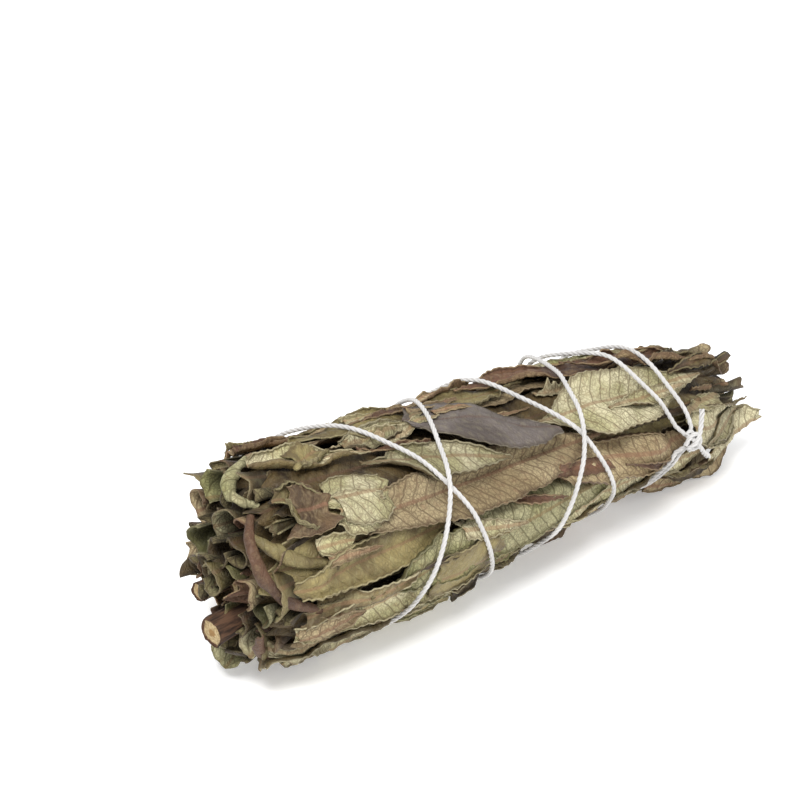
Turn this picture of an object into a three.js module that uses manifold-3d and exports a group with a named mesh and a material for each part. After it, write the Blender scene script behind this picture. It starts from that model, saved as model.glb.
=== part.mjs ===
// A bundle of dried yerba santa: woody sprigs, two sorts of leaf layers round them, and a
// cotton twine wound down the bundle and back.
//
// Millimetres, +Z up. The bundle lies along X with its cut stems at -X and its leaf tips at +X,
// and its origin is at the centre of its underside. Inside, a place is given by its station x,
// its angle about the bundle's axis (0 faces -Y, 90 faces up) and its distance from that axis.
import * as THREE from "three";
import { mergeVertices } from "three/addons/utils/BufferGeometryUtils.js";
import Module from "manifold-3d";

// Driving dimensions
const STATIONS = [-66, -45, -25, 0, 20, 35, 50, 61]; // where the bundle's girth is given
const GIRTH = [22.4, 21.6, 19.9, 18.3, 17.3, 16.2, 14.8, 13.2]; // radius over the leaves there
const OUTER_STACK = 6.8; // depth of the wrapped leaves outside the core
const LEAF_THICKNESS = 0.45;
const GAP = 0.3; // air between neighbouring pieces
const FLAT_SHARE = 0.92; // the core's height below the axis, as a share of its radius
const BED_DEPTH = 2.6; // room under the core, where the twine sinks between the leaves
const GROOVE_FLOOR = 2.9; // half-width of the groove's bottom
const GROOVE_SLOPE = 2.6; // width of each of its sides
const UNDER_DEPTH = 4; // from the core's underside to the surface the bundle lies on
const FLOOR_TRIM = 0.44; // the lowest leaves are pressed flat by this much

const STEM_SIDES = 12;
const STEM_STEP = 14;

const TWINE_DIAMETER = 1.0;
const TWINE_SIDES = 6;
const TWINE_STEP = 3.4;
const FRONT_CROSSING = 38; // angle at which the two windings cross on the front
const TWINE_SWAY = 3.5; // how far a winding leans along the bundle as it passes the front
const KNOT_ANGLE = 6;
const KNOT_X = 34.8;
const TAIL_LENGTH = 7;
const RING_TURN = 360; // degrees of winding in the ring next to the knot
const WINDING = 1800; // degrees of winding down the bundle and back
const PARALLEL_SPACING = 1.45; // between strands that run side by side

const deg = (degrees) => (degrees * Math.PI) / 180;
const clamp = (v, lo, hi) => Math.min(hi, Math.max(lo, v));
const smooth = (v) => {
  const t = clamp(v, 0, 1);
  return t * t * (3 - 2 * t);
};

// A smooth value through (key, value) pairs.
function through(keys, values) {
  const slope = (i) => {
    const a = Math.max(i - 1, 0);
    const b = Math.min(i + 1, keys.length - 1);
    return (values[b] - values[a]) / (keys[b] - keys[a]);
  };
  return (key) => {
    const k = clamp(key, keys[0], keys[keys.length - 1]);
    const i = Math.max(0, keys.findIndex((v, n) => n > 0 && k <= v) - 1);
    const span = keys[i + 1] - keys[i];
    const t = (k - keys[i]) / span;
    const [t2, t3] = [t * t, t * t * t];
    return (
      (2 * t3 - 3 * t2 + 1) * values[i] +
      (t3 - 2 * t2 + t) * span * slope(i) +
      (3 * t2 - 2 * t3) * values[i + 1] +
      (t3 - t2) * span * slope(i + 1)
    );
  };
}

const girth = through(STATIONS, GIRTH);
const coreRadius = (x) => girth(x) - OUTER_STACK;
const taper = (x) => coreRadius(x) / coreRadius(STATIONS[0]);
const axisHeight = (x) => FLAT_SHARE * coreRadius(x) + UNDER_DEPTH;

// 1 straight below the axis, 0 on the sides and above.
const belowness = (angle) => smooth((-Math.sin(deg(angle)) - 0.6) / 0.3);

// The bed under the core, shallower towards the tips and none at the cut ends.
const bedDepth = (x, angle) => BED_DEPTH * taper(x) * belowness(angle) * smooth((x + 54) / 10);

// Distance from the axis to the outside of the core, flattened underneath.
function coreSurface(x, angle) {
  const round = coreRadius(x);
  const down = -Math.sin(deg(angle));
  const flat = down > 0.1 ? (FLAT_SHARE * round) / down : Infinity;
  return Math.min(round, flat) - bedDepth(x, angle);
}

function place(x, angle, r) {
  const a = deg(angle);
  return new THREE.Vector3(x, -r * Math.cos(a), axisHeight(x) + r * Math.sin(a));
}

// ---- The twine's course: station x for each degree of winding ----

// Down the bundle, round the back and up again. 0 is at the knot.
const windingStation = through(
  [0, 392, 752, 932, 1112, 1472, WINDING],
  [32.6, 7.5, -25, -39.5, -25, 7.5, 36.0],
);

function windingX(turned) {
  const direction = turned < 932 ? -1 : 1;
  const sway = TWINE_SWAY * Math.sin(deg(KNOT_ANGLE + turned - FRONT_CROSSING));
  return windingStation(turned) + direction * sway;
}

// The ring next to the knot, from -360 to 0. Its lower half runs beside the last winding.
const ringUpper = through([-360, -270, -180], [35.6, 31.8, 24.4]);
function twineX(turned) {
  if (turned >= 0) return windingX(turned);
  if (turned < -180) return ringUpper(turned);
  return windingX(turned + WINDING) + PARALLEL_SPACING;
}

// How far along the bundle the nearest strand passes this place, 0 under a strand.
function strandDistance(x, angle) {
  let nearest = Infinity;
  for (let turned = angle - KNOT_ANGLE - 720; turned < WINDING; turned += 360) {
    if (turned > -RING_TURN) nearest = Math.min(nearest, Math.abs(x - twineX(turned)));
  }
  return nearest;
}

// ---- The height of what is already laid, on a grid of station by angle ----

const CELL_X = 0.8;
const CELL_ANGLE = 2.5;
const X_START = -72;
const X_CELLS = Math.ceil(142 / CELL_X);
const ANGLE_CELLS = 360 / CELL_ANGLE;
const laid = Array.from({ length: X_CELLS }, (_, i) =>
  Array.from({ length: ANGLE_CELLS }, (__, k) => {
    const x = X_START + i * CELL_X;
    const angle = k * CELL_ANGLE;
    const bed = bedDepth(x, angle);
    const groove = 1 - smooth((strandDistance(x, angle) - GROOVE_FLOOR) / GROOVE_SLOPE);
    return coreSurface(x, angle) + bed * (1 - groove);
  }),
);

const xCell = (x) => clamp(Math.round((x - X_START) / CELL_X), 0, X_CELLS - 1);
const angleCell = (angle) => {
  const k = Math.round(angle / CELL_ANGLE) % ANGLE_CELLS;
  return k < 0 ? k + ANGLE_CELLS : k;
};

// The highest point laid within a window round a place.
function highest(x, angle, halfX, halfAngle) {
  let most = 0;
  for (let i = xCell(x - halfX); i <= xCell(x + halfX); i++) {
    for (let a = angle - halfAngle; a <= angle + halfAngle + 0.01; a += CELL_ANGLE) {
      most = Math.max(most, laid[i][angleCell(a)]);
    }
  }
  return most;
}

// Raises the grid to a surface given as rows of {x, angle, r}.
function raise(rows) {
  const fine = 6;
  const mix = (a, b, t) => a + (b - a) * t;
  for (let i = 0; i + 1 < rows.length; i++) {
    for (let j = 0; j + 1 < rows[i].length; j++) {
      const corners = [rows[i][j], rows[i + 1][j], rows[i][j + 1], rows[i + 1][j + 1]];
      for (let s = 0; s <= fine; s++) {
        for (let t = 0; t <= fine; t++) {
          const at = (key) =>
            mix(
              mix(corners[0][key], corners[1][key], s / fine),
              mix(corners[2][key], corners[3][key], s / fine),
              t / fine,
            );
          const column = laid[xCell(at("x"))];
          const k = angleCell(at("angle"));
          column[k] = Math.max(column[k], at("r"));
        }
      }
    }
  }
}

// ---- Solids ----

// A closed shell between two grids of points that share their layout.
function shell(outer, inner) {
  const [rows, columns] = [outer.length, outer[0].length];
  const positions = [];
  for (const p of [...outer.flat(), ...inner.flat()]) positions.push(p.x, p.y, p.z);
  const index = [];
  const top = (i, j) => i * columns + j;
  const under = (i, j) => rows * columns + i * columns + j;
  const quad = (a, b, c, d) => index.push(a, b, c, a, c, d);
  for (let i = 0; i + 1 < rows; i++) {
    for (let j = 0; j + 1 < columns; j++) {
      quad(top(i, j), top(i + 1, j), top(i + 1, j + 1), top(i, j + 1));
      quad(under(i, j), under(i, j + 1), under(i + 1, j + 1), under(i + 1, j));
    }
    const last = columns - 1;
    quad(under(i, 0), under(i + 1, 0), top(i + 1, 0), top(i, 0));
    quad(top(i, last), top(i + 1, last), under(i + 1, last), under(i, last));
  }
  for (let j = 0; j + 1 < columns; j++) {
    const last = rows - 1;
    quad(top(0, j), top(0, j + 1), under(0, j + 1), under(0, j));
    quad(under(last, j), under(last, j + 1), top(last, j + 1), top(last, j));
  }
  const geometry = new THREE.BufferGeometry();
  geometry.setAttribute("position", new THREE.Float32BufferAttribute(positions, 3));
  geometry.setIndex(index);
  return geometry;
}

const FINISHES = {
  pale: { color: 0xb9b184, roughness: 0.85 },
  tan: { color: 0xb09768, roughness: 0.85 },
  olive: { color: 0x7d7442, roughness: 0.7 },
  grey: { color: 0x6e635f, roughness: 0.8 },
  russet: { color: 0x7a4a30, roughness: 0.75 },
  core: { color: 0x5f5638, roughness: 0.9 },
  bark: { color: 0x6b4630, roughness: 0.8 },
  cotton: { color: 0xe9e7e2, roughness: 0.95 },
};
const materials = Object.fromEntries(
  Object.entries(FINISHES).map(([name, finish]) => [
    name,
    new THREE.MeshStandardMaterial({ ...finish, metalness: 0, name }),
  ]),
);

const bundle = new THREE.Group();
function add(name, geometry, finish) {
  const mesh = new THREE.Mesh(geometry, materials[finish]);
  mesh.name = name;
  bundle.add(mesh);
}

// ---- Stems: a sprig's woody part, thickest at its cut end ----

// [distance from the axis, angle, diameter at the cut, cut end x, far end x, share of that
// distance by which the twine squeezes it in]
const STEMS = [
  [9.0, 300, 5.2, -67.5, 30, 0.3],
  [4.0, 350, 3.4, -63, 24, 0.15],
  [5.1, 95, 4.2, -61, 34, 0.03],
  [5.3, 172, 3.2, -62, 16, 0.03],
  [5.2, 238, 3.4, -64.5, 30, 0.1],
  [5.9, 38, 2.4, -60, 22, 0.03],
  [0.8, 150, 3.0, -62.5, 30, 0],
];

function stem([offset, angle, diameter, from, to, squeeze]) {
  const steps = Math.ceil((to - from) / STEM_STEP);
  const rings = [];
  for (let i = 0; i <= steps; i++) {
    const x = from + ((to - from) * i) / steps;
    const inward = 1 - squeeze * smooth((x + 66) / 24);
    const centre = place(x, angle, offset * inward * taper(x));
    const radius = (diameter / 2) * taper(x) ** 1.3;
    const ring = [];
    for (let k = 0; k < STEM_SIDES; k++) {
      const a = (2 * Math.PI * k) / STEM_SIDES;
      ring.push(new THREE.Vector3(x, centre.y - radius * Math.cos(a), centre.z + radius * Math.sin(a)));
    }
    rings.push(ring);
  }
  const positions = rings.flat().flatMap((p) => [p.x, p.y, p.z]);
  const index = [];
  const at = (i, k) => i * STEM_SIDES + (k % STEM_SIDES);
  for (let i = 0; i < steps; i++) {
    for (let k = 0; k < STEM_SIDES; k++) {
      index.push(at(i, k), at(i + 1, k + 1), at(i, k + 1), at(i, k), at(i + 1, k), at(i + 1, k + 1));
    }
  }
  for (let k = 1; k + 1 < STEM_SIDES; k++) {
    index.push(at(0, 0), at(0, k), at(0, k + 1));
    index.push(at(steps, 0), at(steps, k + 1), at(steps, k));
  }
  const geometry = new THREE.BufferGeometry();
  geometry.setAttribute("position", new THREE.Float32BufferAttribute(positions, 3));
  geometry.setIndex(index);
  return geometry;
}

// ---- Inner leaves: crinkled strips standing in rings round the stems ----

const INNER_RINGS = [
  { share: 0.66, leaves: [[0, 33], [72, 33], [146, 35], [222, 35]] },
  { share: 0.81, leaves: [[22, 42], [112, 42], [202, 42]] },
  { share: 0.94, leaves: [[60, 55], [180, 56], [300, 56]] },
];
// Small leaves at the tip end, beyond the sprigs: [share, angle, half-span, from, to]
const HEART_LEAVES = [
  [0.36, 60, 76, 37, 55],
  [0.36, 238, 72, 38, 52],
];
const INNER_FROM = -64.5;
const INNER_TO = 48;
const INNER_WAVE = 0.03; // the crinkle's height, as a share of the core's radius
const INNER_WAVES_ROUND = 8;
const INNER_THICKNESS = 0.35;
const SETBACK = 6; // the cut ends slant: leaves at the back start this much further in
const INNER_COLUMN = 14; // degrees between a strip's points

const setback = (angle) => (SETBACK * (1 - Math.cos(deg(angle)))) / 2;

function innerLeaf(share, centre, half, from, to) {
  const columns = Math.ceil((2 * half) / INNER_COLUMN);
  const stations = [0, 0.28, 0.54, 0.78, 1].map((u) => from + u * (to - from));
  const surface = (lift) =>
    stations.map((x) =>
      Array.from({ length: columns + 1 }, (_, j) => {
        const angle = centre - half + (2 * half * j) / columns;
        const wave = INNER_WAVE * coreRadius(x) * Math.sin(deg(INNER_WAVES_ROUND * angle));
        return place(x, angle, share * coreSurface(x, angle) + wave + lift);
      }),
    );
  return shell(surface(0), surface(-INNER_THICKNESS));
}

// ---- Wrapped leaves: each is laid over what lies below it ----

const COLUMNS = 4; // cells across a leaf
const LONG_STEP = 6.5;
const FINE_STEP = 3.1; // for leaves on the underside, which dip under each strand

function halfWidth(leaf, u) {
  const butt = leaf.ends[0] + (1 - leaf.ends[0]) * smooth(u / 0.28);
  const tip = leaf.ends[1] + (1 - leaf.ends[1]) * smooth((1 - u) / 0.42);
  return (leaf.width / 2) * butt * tip;
}

function wrappedLeaf(leaf) {
  const [from, to] = leaf.x;
  const step = leaf.fine ? FINE_STEP : LONG_STEP;
  const rows = Math.max(3, Math.round((to - from) / step));
  const spacing = (to - from) / rows;
  const grid = [];
  for (let i = 0; i <= rows; i++) {
    const u = i / rows;
    const x = from + u * (to - from);
    const centre = leaf.angle[0] + u * (leaf.angle[1] - leaf.angle[0]);
    const half = THREE.MathUtils.radToDeg(halfWidth(leaf, u) / girth(x));
    const row = [];
    for (let j = 0; j <= COLUMNS; j++) {
      const angle = centre + half * ((2 * j) / COLUMNS - 1);
      const reach = leaf.fine ? 0.7 * spacing : spacing;
      const r = highest(x, angle, reach, Math.max(CELL_ANGLE, (2 * half) / COLUMNS)) + GAP;
      const flare =
        (leaf.flare ?? 0) * (1 - smooth(u / 0.3)) + (leaf.tipFlare ?? 0) * smooth((u - 0.5) / 0.4);
      const belly = (leaf.belly ?? 0) * belowness(angle) * smooth((strandDistance(x, angle) - 1.8) / 3.2);
      row.push({ x, angle, r: r + flare + belly });
    }
    grid.push(row);
  }
  const surface = (lift) => grid.map((row) => row.map((p) => place(p.x, p.angle, p.r + lift)));
  raise(grid.map((row) => row.map((p) => ({ ...p, r: p.r + LEAF_THICKNESS }))));
  return shell(surface(LEAF_THICKNESS), surface(0));
}

// Leaves that close the ring round the core, edge to edge, under the ones that show.
const UNDER_LEAVES = 8;
function underLeaves() {
  const width = ((2 * Math.PI) / UNDER_LEAVES) * girth(-30) * 0.97;
  return Array.from({ length: UNDER_LEAVES }, (_, i) => {
    const angle = 22 + (360 / UNDER_LEAVES) * i;
    const stagger = (i * 5) % 8;
    return {
      name: `under_leaf_${i + 1}`,
      x: [-62.5 + setback(angle) + (stagger % 4) / 2, 44 + stagger],
      angle: [angle, angle + 5 - (stagger % 3) * 4],
      width,
      finish: i % 3 === 1 ? "olive" : "core",
      ends: [0.85, 0.55],
      fine: belowness(angle) > 0.2,
    };
  });
}

// The leaves that show, from the lowest laid to the last. Named for where they lie.
const SHOWN_LEAVES = [
  {
    name: "bottom_leaf_long", x: [-60, 30], angle: [262, 266], width: 14, finish: "pale",
    ends: [0.6, 0.5], fine: true, belly: 1.7,
  },
  {
    name: "bottom_leaf_tip", x: [8, 56], angle: [284, 276], width: 9, finish: "tan",
    ends: [0.4, 0.3], fine: true, belly: 0.9, tipFlare: 2.2,
  },
  {
    name: "bottom_leaf_front", x: [-57, 6], angle: [300, 304], width: 11, finish: "pale",
    ends: [0.5, 0.3], fine: true, belly: 1.5,
  },
  {
    name: "bottom_leaf_tip_front", x: [27, 61], angle: [304, 296], width: 9, finish: "pale",
    ends: [0.4, 0.3], fine: true, belly: 0.6,
  },
  {
    name: "back_leaf_low", x: [-60, 12], angle: [232, 238], width: 13, finish: "tan",
    ends: [0.5, 0.3], fine: true, belly: 1.15,
  },
  {
    name: "back_leaf_low_tip", x: [-4, 54], angle: [238, 226], width: 10, finish: "pale",
    ends: [0.3, 0.3], fine: true, belly: 0.0,
  },
  {
    name: "back_leaf_middle", x: [-57, 6], angle: [204, 196], width: 14, finish: "pale",
    ends: [0.6, 0.2], flare: 0.8,
  },
  {
    name: "back_leaf_middle_tip", x: [-12, 58], angle: [198, 206], width: 11, finish: "olive",
    ends: [0.2, 0.4],
  },
  {
    name: "back_leaf_high", x: [-58, -2], angle: [166, 176], width: 13, finish: "pale",
    ends: [0.5, 0.3], flare: 1.0,
  },
  {
    name: "back_leaf_high_tip", x: [-20, 50], angle: [172, 158], width: 12, finish: "pale",
    ends: [0.3, 0.3],
  },
  {
    name: "top_leaf_back", x: [-58, 20], angle: [136, 132], width: 13, finish: "tan",
    ends: [0.5, 0.3], flare: 0.6,
  },
  {
    name: "top_leaf_back_tip", x: [2, 56], angle: [134, 122], width: 9, finish: "pale",
    ends: [0.3, 0.3],
  },
  {
    name: "top_leaf_olive", x: [-44, 8], angle: [98, 96], width: 11, finish: "olive",
    ends: [0.4, 0.4],
  },
  {
    name: "top_leaf_russet", x: [-6, 44], angle: [104, 88], width: 8, finish: "russet",
    ends: [0.4, 0.5],
  },
  {
    name: "front_leaf_olive", x: [-60, -22], angle: [10, 14], width: 10, finish: "olive",
    ends: [0.5, 0.4], flare: 1.0,
  },
  {
    name: "front_leaf_lowest", x: [-62, 14], angle: [-38, -34], width: 10, finish: "pale",
    ends: [0.6, 0.3], fine: true,
  },
  {
    name: "front_leaf_lower", x: [-60, 6], angle: [-20, -12], width: 10, finish: "pale",
    ends: [0.5, 0.3], flare: 0.5,
  },
  {
    name: "front_leaf_low_tip", x: [-8, 50], angle: [-8, -30], width: 9.5, finish: "pale",
    ends: [0.3, 0.3],
  },
  {
    name: "front_leaf_net", x: [-46, 22], angle: [-6, 4], width: 10.5, finish: "pale",
    ends: [0.4, 0.3],
  },
  {
    name: "front_leaf_middle", x: [-4, 40], angle: [26, -2], width: 9.5, finish: "tan",
    ends: [0.5, 0.4],
  },
  {
    name: "front_leaf_midrib", x: [-43, 16], angle: [34, 32], width: 11.5, finish: "tan",
    ends: [0.7, 0.3],
  },
  {
    name: "butt_leaf_brown", x: [-62, -44], angle: [58, 40], width: 11, finish: "olive",
    ends: [0.6, 0.5], flare: 1.2,
  },
  {
    name: "butt_leaf_scrap", x: [-51, -38], angle: [42, 36], width: 9, finish: "pale",
    ends: [0.6, 0.6],
  },
  {
    name: "upper_leaf_pale", x: [-37, -8], angle: [66, 38], width: 9.5, finish: "pale",
    ends: [0.5, 0.3],
  },
  {
    name: "upper_leaf_big", x: [2, 46], angle: [53, 50], width: 14, finish: "pale",
    ends: [0.4, 0.3],
  },
  {
    name: "upper_leaf_grey", x: [-22, 3], angle: [84, 44], width: 10.5, finish: "grey",
    ends: [0.5, 0.3],
  },
  {
    name: "butt_leaf_curled", x: [-60, -34], angle: [90, 70], width: 9, finish: "pale",
    ends: [0.5, 0.3], flare: 1.4,
  },
  {
    name: "top_leaf_rolled", x: [18, 57], angle: [96, 54], width: 7, finish: "russet",
    ends: [0.4, 0.5],
  },
  {
    name: "tip_leaf_front", x: [36, 64], angle: [12, -14], width: 10, finish: "pale",
    ends: [0.7, 0.2],
  },
  {
    name: "tip_leaf_low", x: [32, 58], angle: [-52, -46], width: 8, finish: "grey",
    ends: [0.4, 0.3], tipFlare: 0.8,
  },
];

// ---- Twine ----

// The route as two strands, the ring next to the knot and the winding, both from knot to knot.
function twineStrands() {
  const radius = TWINE_DIAMETER / 2;
  const window = THREE.MathUtils.radToDeg((TWINE_STEP * 0.65) / girth(0));
  const strand = (from, to) => {
    const steps = Math.round((deg(to - from) * girth(0)) / TWINE_STEP);
    return Array.from({ length: steps + 1 }, (_, i) => {
      const turned = from + ((to - from) * (i + 0.001)) / steps;
      const angle = KNOT_ANGLE + turned;
      const x = twineX(turned);
      return { x, angle, turned, r: highest(x, angle, 1, window) + GAP + radius };
    });
  };
  const strands = [strand(-RING_TURN, -0.1), strand(0, WINDING)];
  strands.forEach(tauten);
  const laidStrands = [];
  for (const p of strands.flat()) {
    rideOver(p, laidStrands);
    laidStrands.push(p);
  }
  strands.forEach(tauten);
  return strands;
}

// A taut strand runs straight across hollows.
function tauten(strand) {
  for (let pass = 0; pass < 30; pass++) {
    for (let i = 1; i + 1 < strand.length; i++) {
      const turn = deg(strand[i + 1].turned - strand[i].turned);
      const chord = ((strand[i - 1].r + strand[i + 1].r) / 2) * Math.cos(turn);
      strand[i].r = Math.max(strand[i].r, chord);
    }
  }
}

// A later strand rides over an earlier one where they cross, away from the knot.
function rideOver(p, earlier) {
  const step = THREE.MathUtils.radToDeg(TWINE_STEP / girth(0));
  for (let turned = p.turned - 360; turned > -RING_TURN && !nearKnot(p); turned -= 360) {
    const beside = p.turned > WINDING - 200 && turned < 0;
    const apart = [-0.8, -0.4, 0, 0.4, 0.8].map((s) =>
      Math.abs(twineX(p.turned + s * step) - twineX(turned + s * step)),
    );
    if (beside || Math.min(...apart) > TWINE_DIAMETER + 0.3) continue;
    for (const q of earlier) {
      if (Math.abs(q.turned - turned) < step) p.r = Math.max(p.r, q.r + TWINE_DIAMETER + 0.12);
    }
  }
}

function nearKnot(p) {
  const across = deg(((((p.angle - KNOT_ANGLE) % 360) + 540) % 360) - 180) * p.r;
  return Math.hypot(across, p.x - KNOT_X) < 5.5;
}

function tube(points, radius, step) {
  const curve = new THREE.CatmullRomCurve3(points, false, "centripetal");
  const corners = Array.from({ length: TWINE_SIDES }, (_, k) => {
    const a = (2 * Math.PI * k) / TWINE_SIDES;
    return new THREE.Vector2(radius * Math.cos(a), radius * Math.sin(a));
  });
  const steps = Math.max(3, Math.round(curve.getLength() / step));
  return new THREE.ExtrudeGeometry(new THREE.Shape(corners), { steps, extrudePath: curve });
}

const wasm = await Module();
wasm.setup();

function toSolid(geometry) {
  const bare = geometry.clone();
  bare.deleteAttribute("normal");
  bare.deleteAttribute("uv");
  const merged = mergeVertices(bare, 1e-4);
  const mesh = new wasm.Mesh({
    numProp: 3,
    vertProperties: merged.attributes.position.array,
    triVerts: new Uint32Array(merged.index.array),
  });
  return new wasm.Manifold(mesh);
}

function toGeometry(solid) {
  const mesh = solid.getMesh();
  const geometry = new THREE.BufferGeometry();
  geometry.setAttribute("position", new THREE.BufferAttribute(mesh.vertProperties, 3));
  geometry.setIndex(new THREE.BufferAttribute(mesh.triVerts, 1));
  return geometry;
}

// The twine's two ends are tied over each other at the front and trimmed to short tails.
function twine() {
  const strands = twineStrands();
  const radius = TWINE_DIAMETER / 2;
  const ends = strands.flatMap((strand) => [strand[0].r, strand[strand.length - 1].r]);
  const knotR = Math.max(...ends) + 0.35;
  const local = (dx, dAngle, dr) => place(KNOT_X + dx, KNOT_ANGLE + dAngle, knotR + dr);
  const routes = strands.map((strand) => [
    local(-0.6, 1, 0),
    ...strand.slice(1, -1).map((p) => place(p.x, p.angle, p.r)),
    local(-0.6, -1, 0),
  ]);
  const reach = THREE.MathUtils.radToDeg((TAIL_LENGTH * 0.6) / knotR);
  const ties = [
    [
      local(-1.6, 2, 0),
      local(-0.4, 4.2, 0.5),
      local(1.1, 1.2, 0.6),
      local(0.3, -3.6, 0.4),
      local(-1.3, -2.4, 0),
    ],
    [local(-1.2, -4, 0.1), local(0.4, -1.5, 0.1), local(1.1, 2.4, 0.1), local(-0.5, 4.6, 0.1)],
    [local(-0.6, -2, 0.3), local(1.2, 3, 0.4), local(4.2, reach, 0.4)],
    [local(-0.4, 2, 0.3), local(1.4, -3, 0.4), local(5.0, -reach, 0.3)],
  ];
  let solid = toSolid(tube(routes[0], radius, TWINE_STEP)).add(toSolid(tube(routes[1], radius, TWINE_STEP)));
  for (const tie of ties) solid = solid.add(toSolid(tube(tie, radius * 1.12, 1.2)));
  return toGeometry(solid.simplify(0.02));
}

// ---- Assembly ----

STEMS.forEach((spec, i) => add(`stem_${i + 1}`, stem(spec), "bark"));
INNER_RINGS.forEach(({ share, leaves }, ring) =>
  leaves.forEach(([centre, half], i) => {
    const from = INNER_FROM + setback(centre) + ((i * 3 + ring * 2) % 4);
    const to = INNER_TO + ((i * 4 + ring * 3) % 7);
    add(`inner_leaf_${ring + 1}_${i + 1}`, innerLeaf(share, centre, half, from, to), "core");
  }),
);
HEART_LEAVES.forEach(([share, centre, half, from, to], i) => {
  add(`heart_leaf_${i + 1}`, innerLeaf(share, centre, half, from, to), "core");
});
for (const leaf of [...underLeaves(), ...SHOWN_LEAVES]) add(leaf.name, wrappedLeaf(leaf), leaf.finish);
add("binding_twine", twine(), "cotton");

// Sets the bundle down on the plane z = 0 and presses its lowest leaves flat there.
const lowest = Math.min(...bundle.children.map((mesh) => new THREE.Box3().setFromObject(mesh).min.z));
const floor = lowest + FLOOR_TRIM;
for (const { geometry } of bundle.children) {
  const position = geometry.getAttribute("position");
  for (let i = 0; i < position.count; i++) position.setZ(i, Math.max(position.getZ(i), floor));
  geometry.computeBoundingBox();
}
const box = new THREE.Box3().setFromObject(bundle);
bundle.position.set(-(box.min.x + box.max.x) / 2, -(box.min.y + box.max.y) / 2, -floor);

export default bundle;
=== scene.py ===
"""A tied bundle of dried yerba santa: netted, crumpled leaves, cut woody sprigs and plied twine."""

import math
from functools import partial

import bpy
import numpy as np
from bpy.props import FloatProperty, FloatVectorProperty, PointerProperty
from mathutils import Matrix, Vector
from mathutils.bvhtree import BVHTree


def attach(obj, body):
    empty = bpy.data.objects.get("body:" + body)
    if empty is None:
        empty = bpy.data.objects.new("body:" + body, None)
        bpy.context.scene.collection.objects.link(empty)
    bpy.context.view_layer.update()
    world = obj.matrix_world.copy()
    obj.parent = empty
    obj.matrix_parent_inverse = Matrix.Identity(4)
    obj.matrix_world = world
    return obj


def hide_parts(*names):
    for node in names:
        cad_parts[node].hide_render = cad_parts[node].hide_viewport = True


bl_info = {
    "name": "Dried Herb Bundle",
    "version": (1, 0, 0),
    "blender": (4, 5, 0),
    "location": "View3D > Sidebar > Herb Bundle",
    "description": "Leaves, sprigs and twine of a tied bundle of dried yerba santa",
    "category": "Object",
}

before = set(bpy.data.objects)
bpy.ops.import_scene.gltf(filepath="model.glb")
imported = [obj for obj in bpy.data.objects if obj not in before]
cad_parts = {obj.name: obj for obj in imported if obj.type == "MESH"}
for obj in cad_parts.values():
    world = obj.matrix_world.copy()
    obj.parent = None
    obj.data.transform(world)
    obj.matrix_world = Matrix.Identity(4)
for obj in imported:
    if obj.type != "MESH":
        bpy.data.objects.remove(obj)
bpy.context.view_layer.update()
MM = 0.001

# ---- The bundle's own measure: station, angle and distance from the axis, in mm and degrees ----

# Stations along the bundle, its radius at each, and how deep the wrapped leaves lie over its core.
STATIONS = np.array([-66.0, -45, -25, 0, 20, 35, 50, 61])
GIRTH = np.array([22.4, 21.6, 19.9, 18.3, 17.3, 16.2, 14.8, 13.2])
OUTER_STACK = 6.8
# The axis lies lower than the core's radius, because a bundle flattens where it rests.
FLAT_SHARE = 0.92
KNOT_X, KNOT_ANGLE = 34.8, 6.0
# Degrees wound in the ring beside the knot, and then down the bundle and back.
RING_TURN, WINDING = 360.0, 1800.0
FURTHEST_TURN = 932
FRONT_CROSSING, TWINE_SWAY, PARALLEL_SPACING = 38.0, 3.5, 1.45
# The middle sprig, and its cut end's station, angle and distance from the axis.
CENTRE_SPRIG = ("stem_7", -62.5, 150.0, 0.8)
# Corners of one CAD row lie closer together than this along the bundle.
ROW_GAP = 0.05
# A leaf stays this far above the floor.
FLOOR_GAP = 0.03
# Side veins lean towards the tip by this much for each millimetre away from the rib.
VEIN_LEAN = 0.8


def smooth(v):
    """An eased step from 0 to 1."""
    t = np.clip(v, 0, 1)
    return t * t * (3 - 2 * t)


def through(keys, values):
    """A smooth curve through (key, value) pairs."""
    keys, values = np.asarray(keys, float), np.asarray(values, float)
    a = np.maximum(np.arange(len(keys)) - 1, 0)
    b = np.minimum(np.arange(len(keys)) + 1, len(keys) - 1)
    slope = (values[b] - values[a]) / (keys[b] - keys[a])

    def at(key):
        k = np.clip(key, keys[0], keys[-1])
        i = np.clip(np.searchsorted(keys, k) - 1, 0, len(keys) - 2)
        span = keys[i + 1] - keys[i]
        t = (k - keys[i]) / span
        return (
            (2 * t**3 - 3 * t**2 + 1) * values[i]
            + (t**3 - 2 * t**2 + t) * span * slope[i]
            + (3 * t**2 - 2 * t**3) * values[i + 1]
            + (t**3 - t**2) * span * slope[i + 1]
        )

    return at


girth = through(STATIONS, GIRTH)


def core_radius(x):
    """Radius of the sprigs and inner leaves at a station."""
    return girth(x) - OUTER_STACK


def mesh_corners(mesh):
    """A mesh's corners, in metres."""
    values = np.empty(len(mesh.vertices) * 3, np.float32)
    mesh.vertices.foreach_get("co", values)
    return values.reshape(-1, 3)


def node_points(name):
    """A CAD node's corners in millimetres, each one once."""
    corners = mesh_corners(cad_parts[name].data).astype(float)
    return np.unique(np.round(corners * 1000, 4), axis=0)


def rows_along(x):
    """The corners' numbers in each row of a CAD piece, from its cut end to its tip."""
    order = np.argsort(x, kind="stable")
    return np.split(order, np.flatnonzero(np.diff(x[order]) > ROW_GAP) + 1)


def cut_ring(name):
    """The corners of a CAD sprig's cut end."""
    points = node_points(name)
    return points[points[:, 0] < points[:, 0].min() + ROW_GAP]


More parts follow.
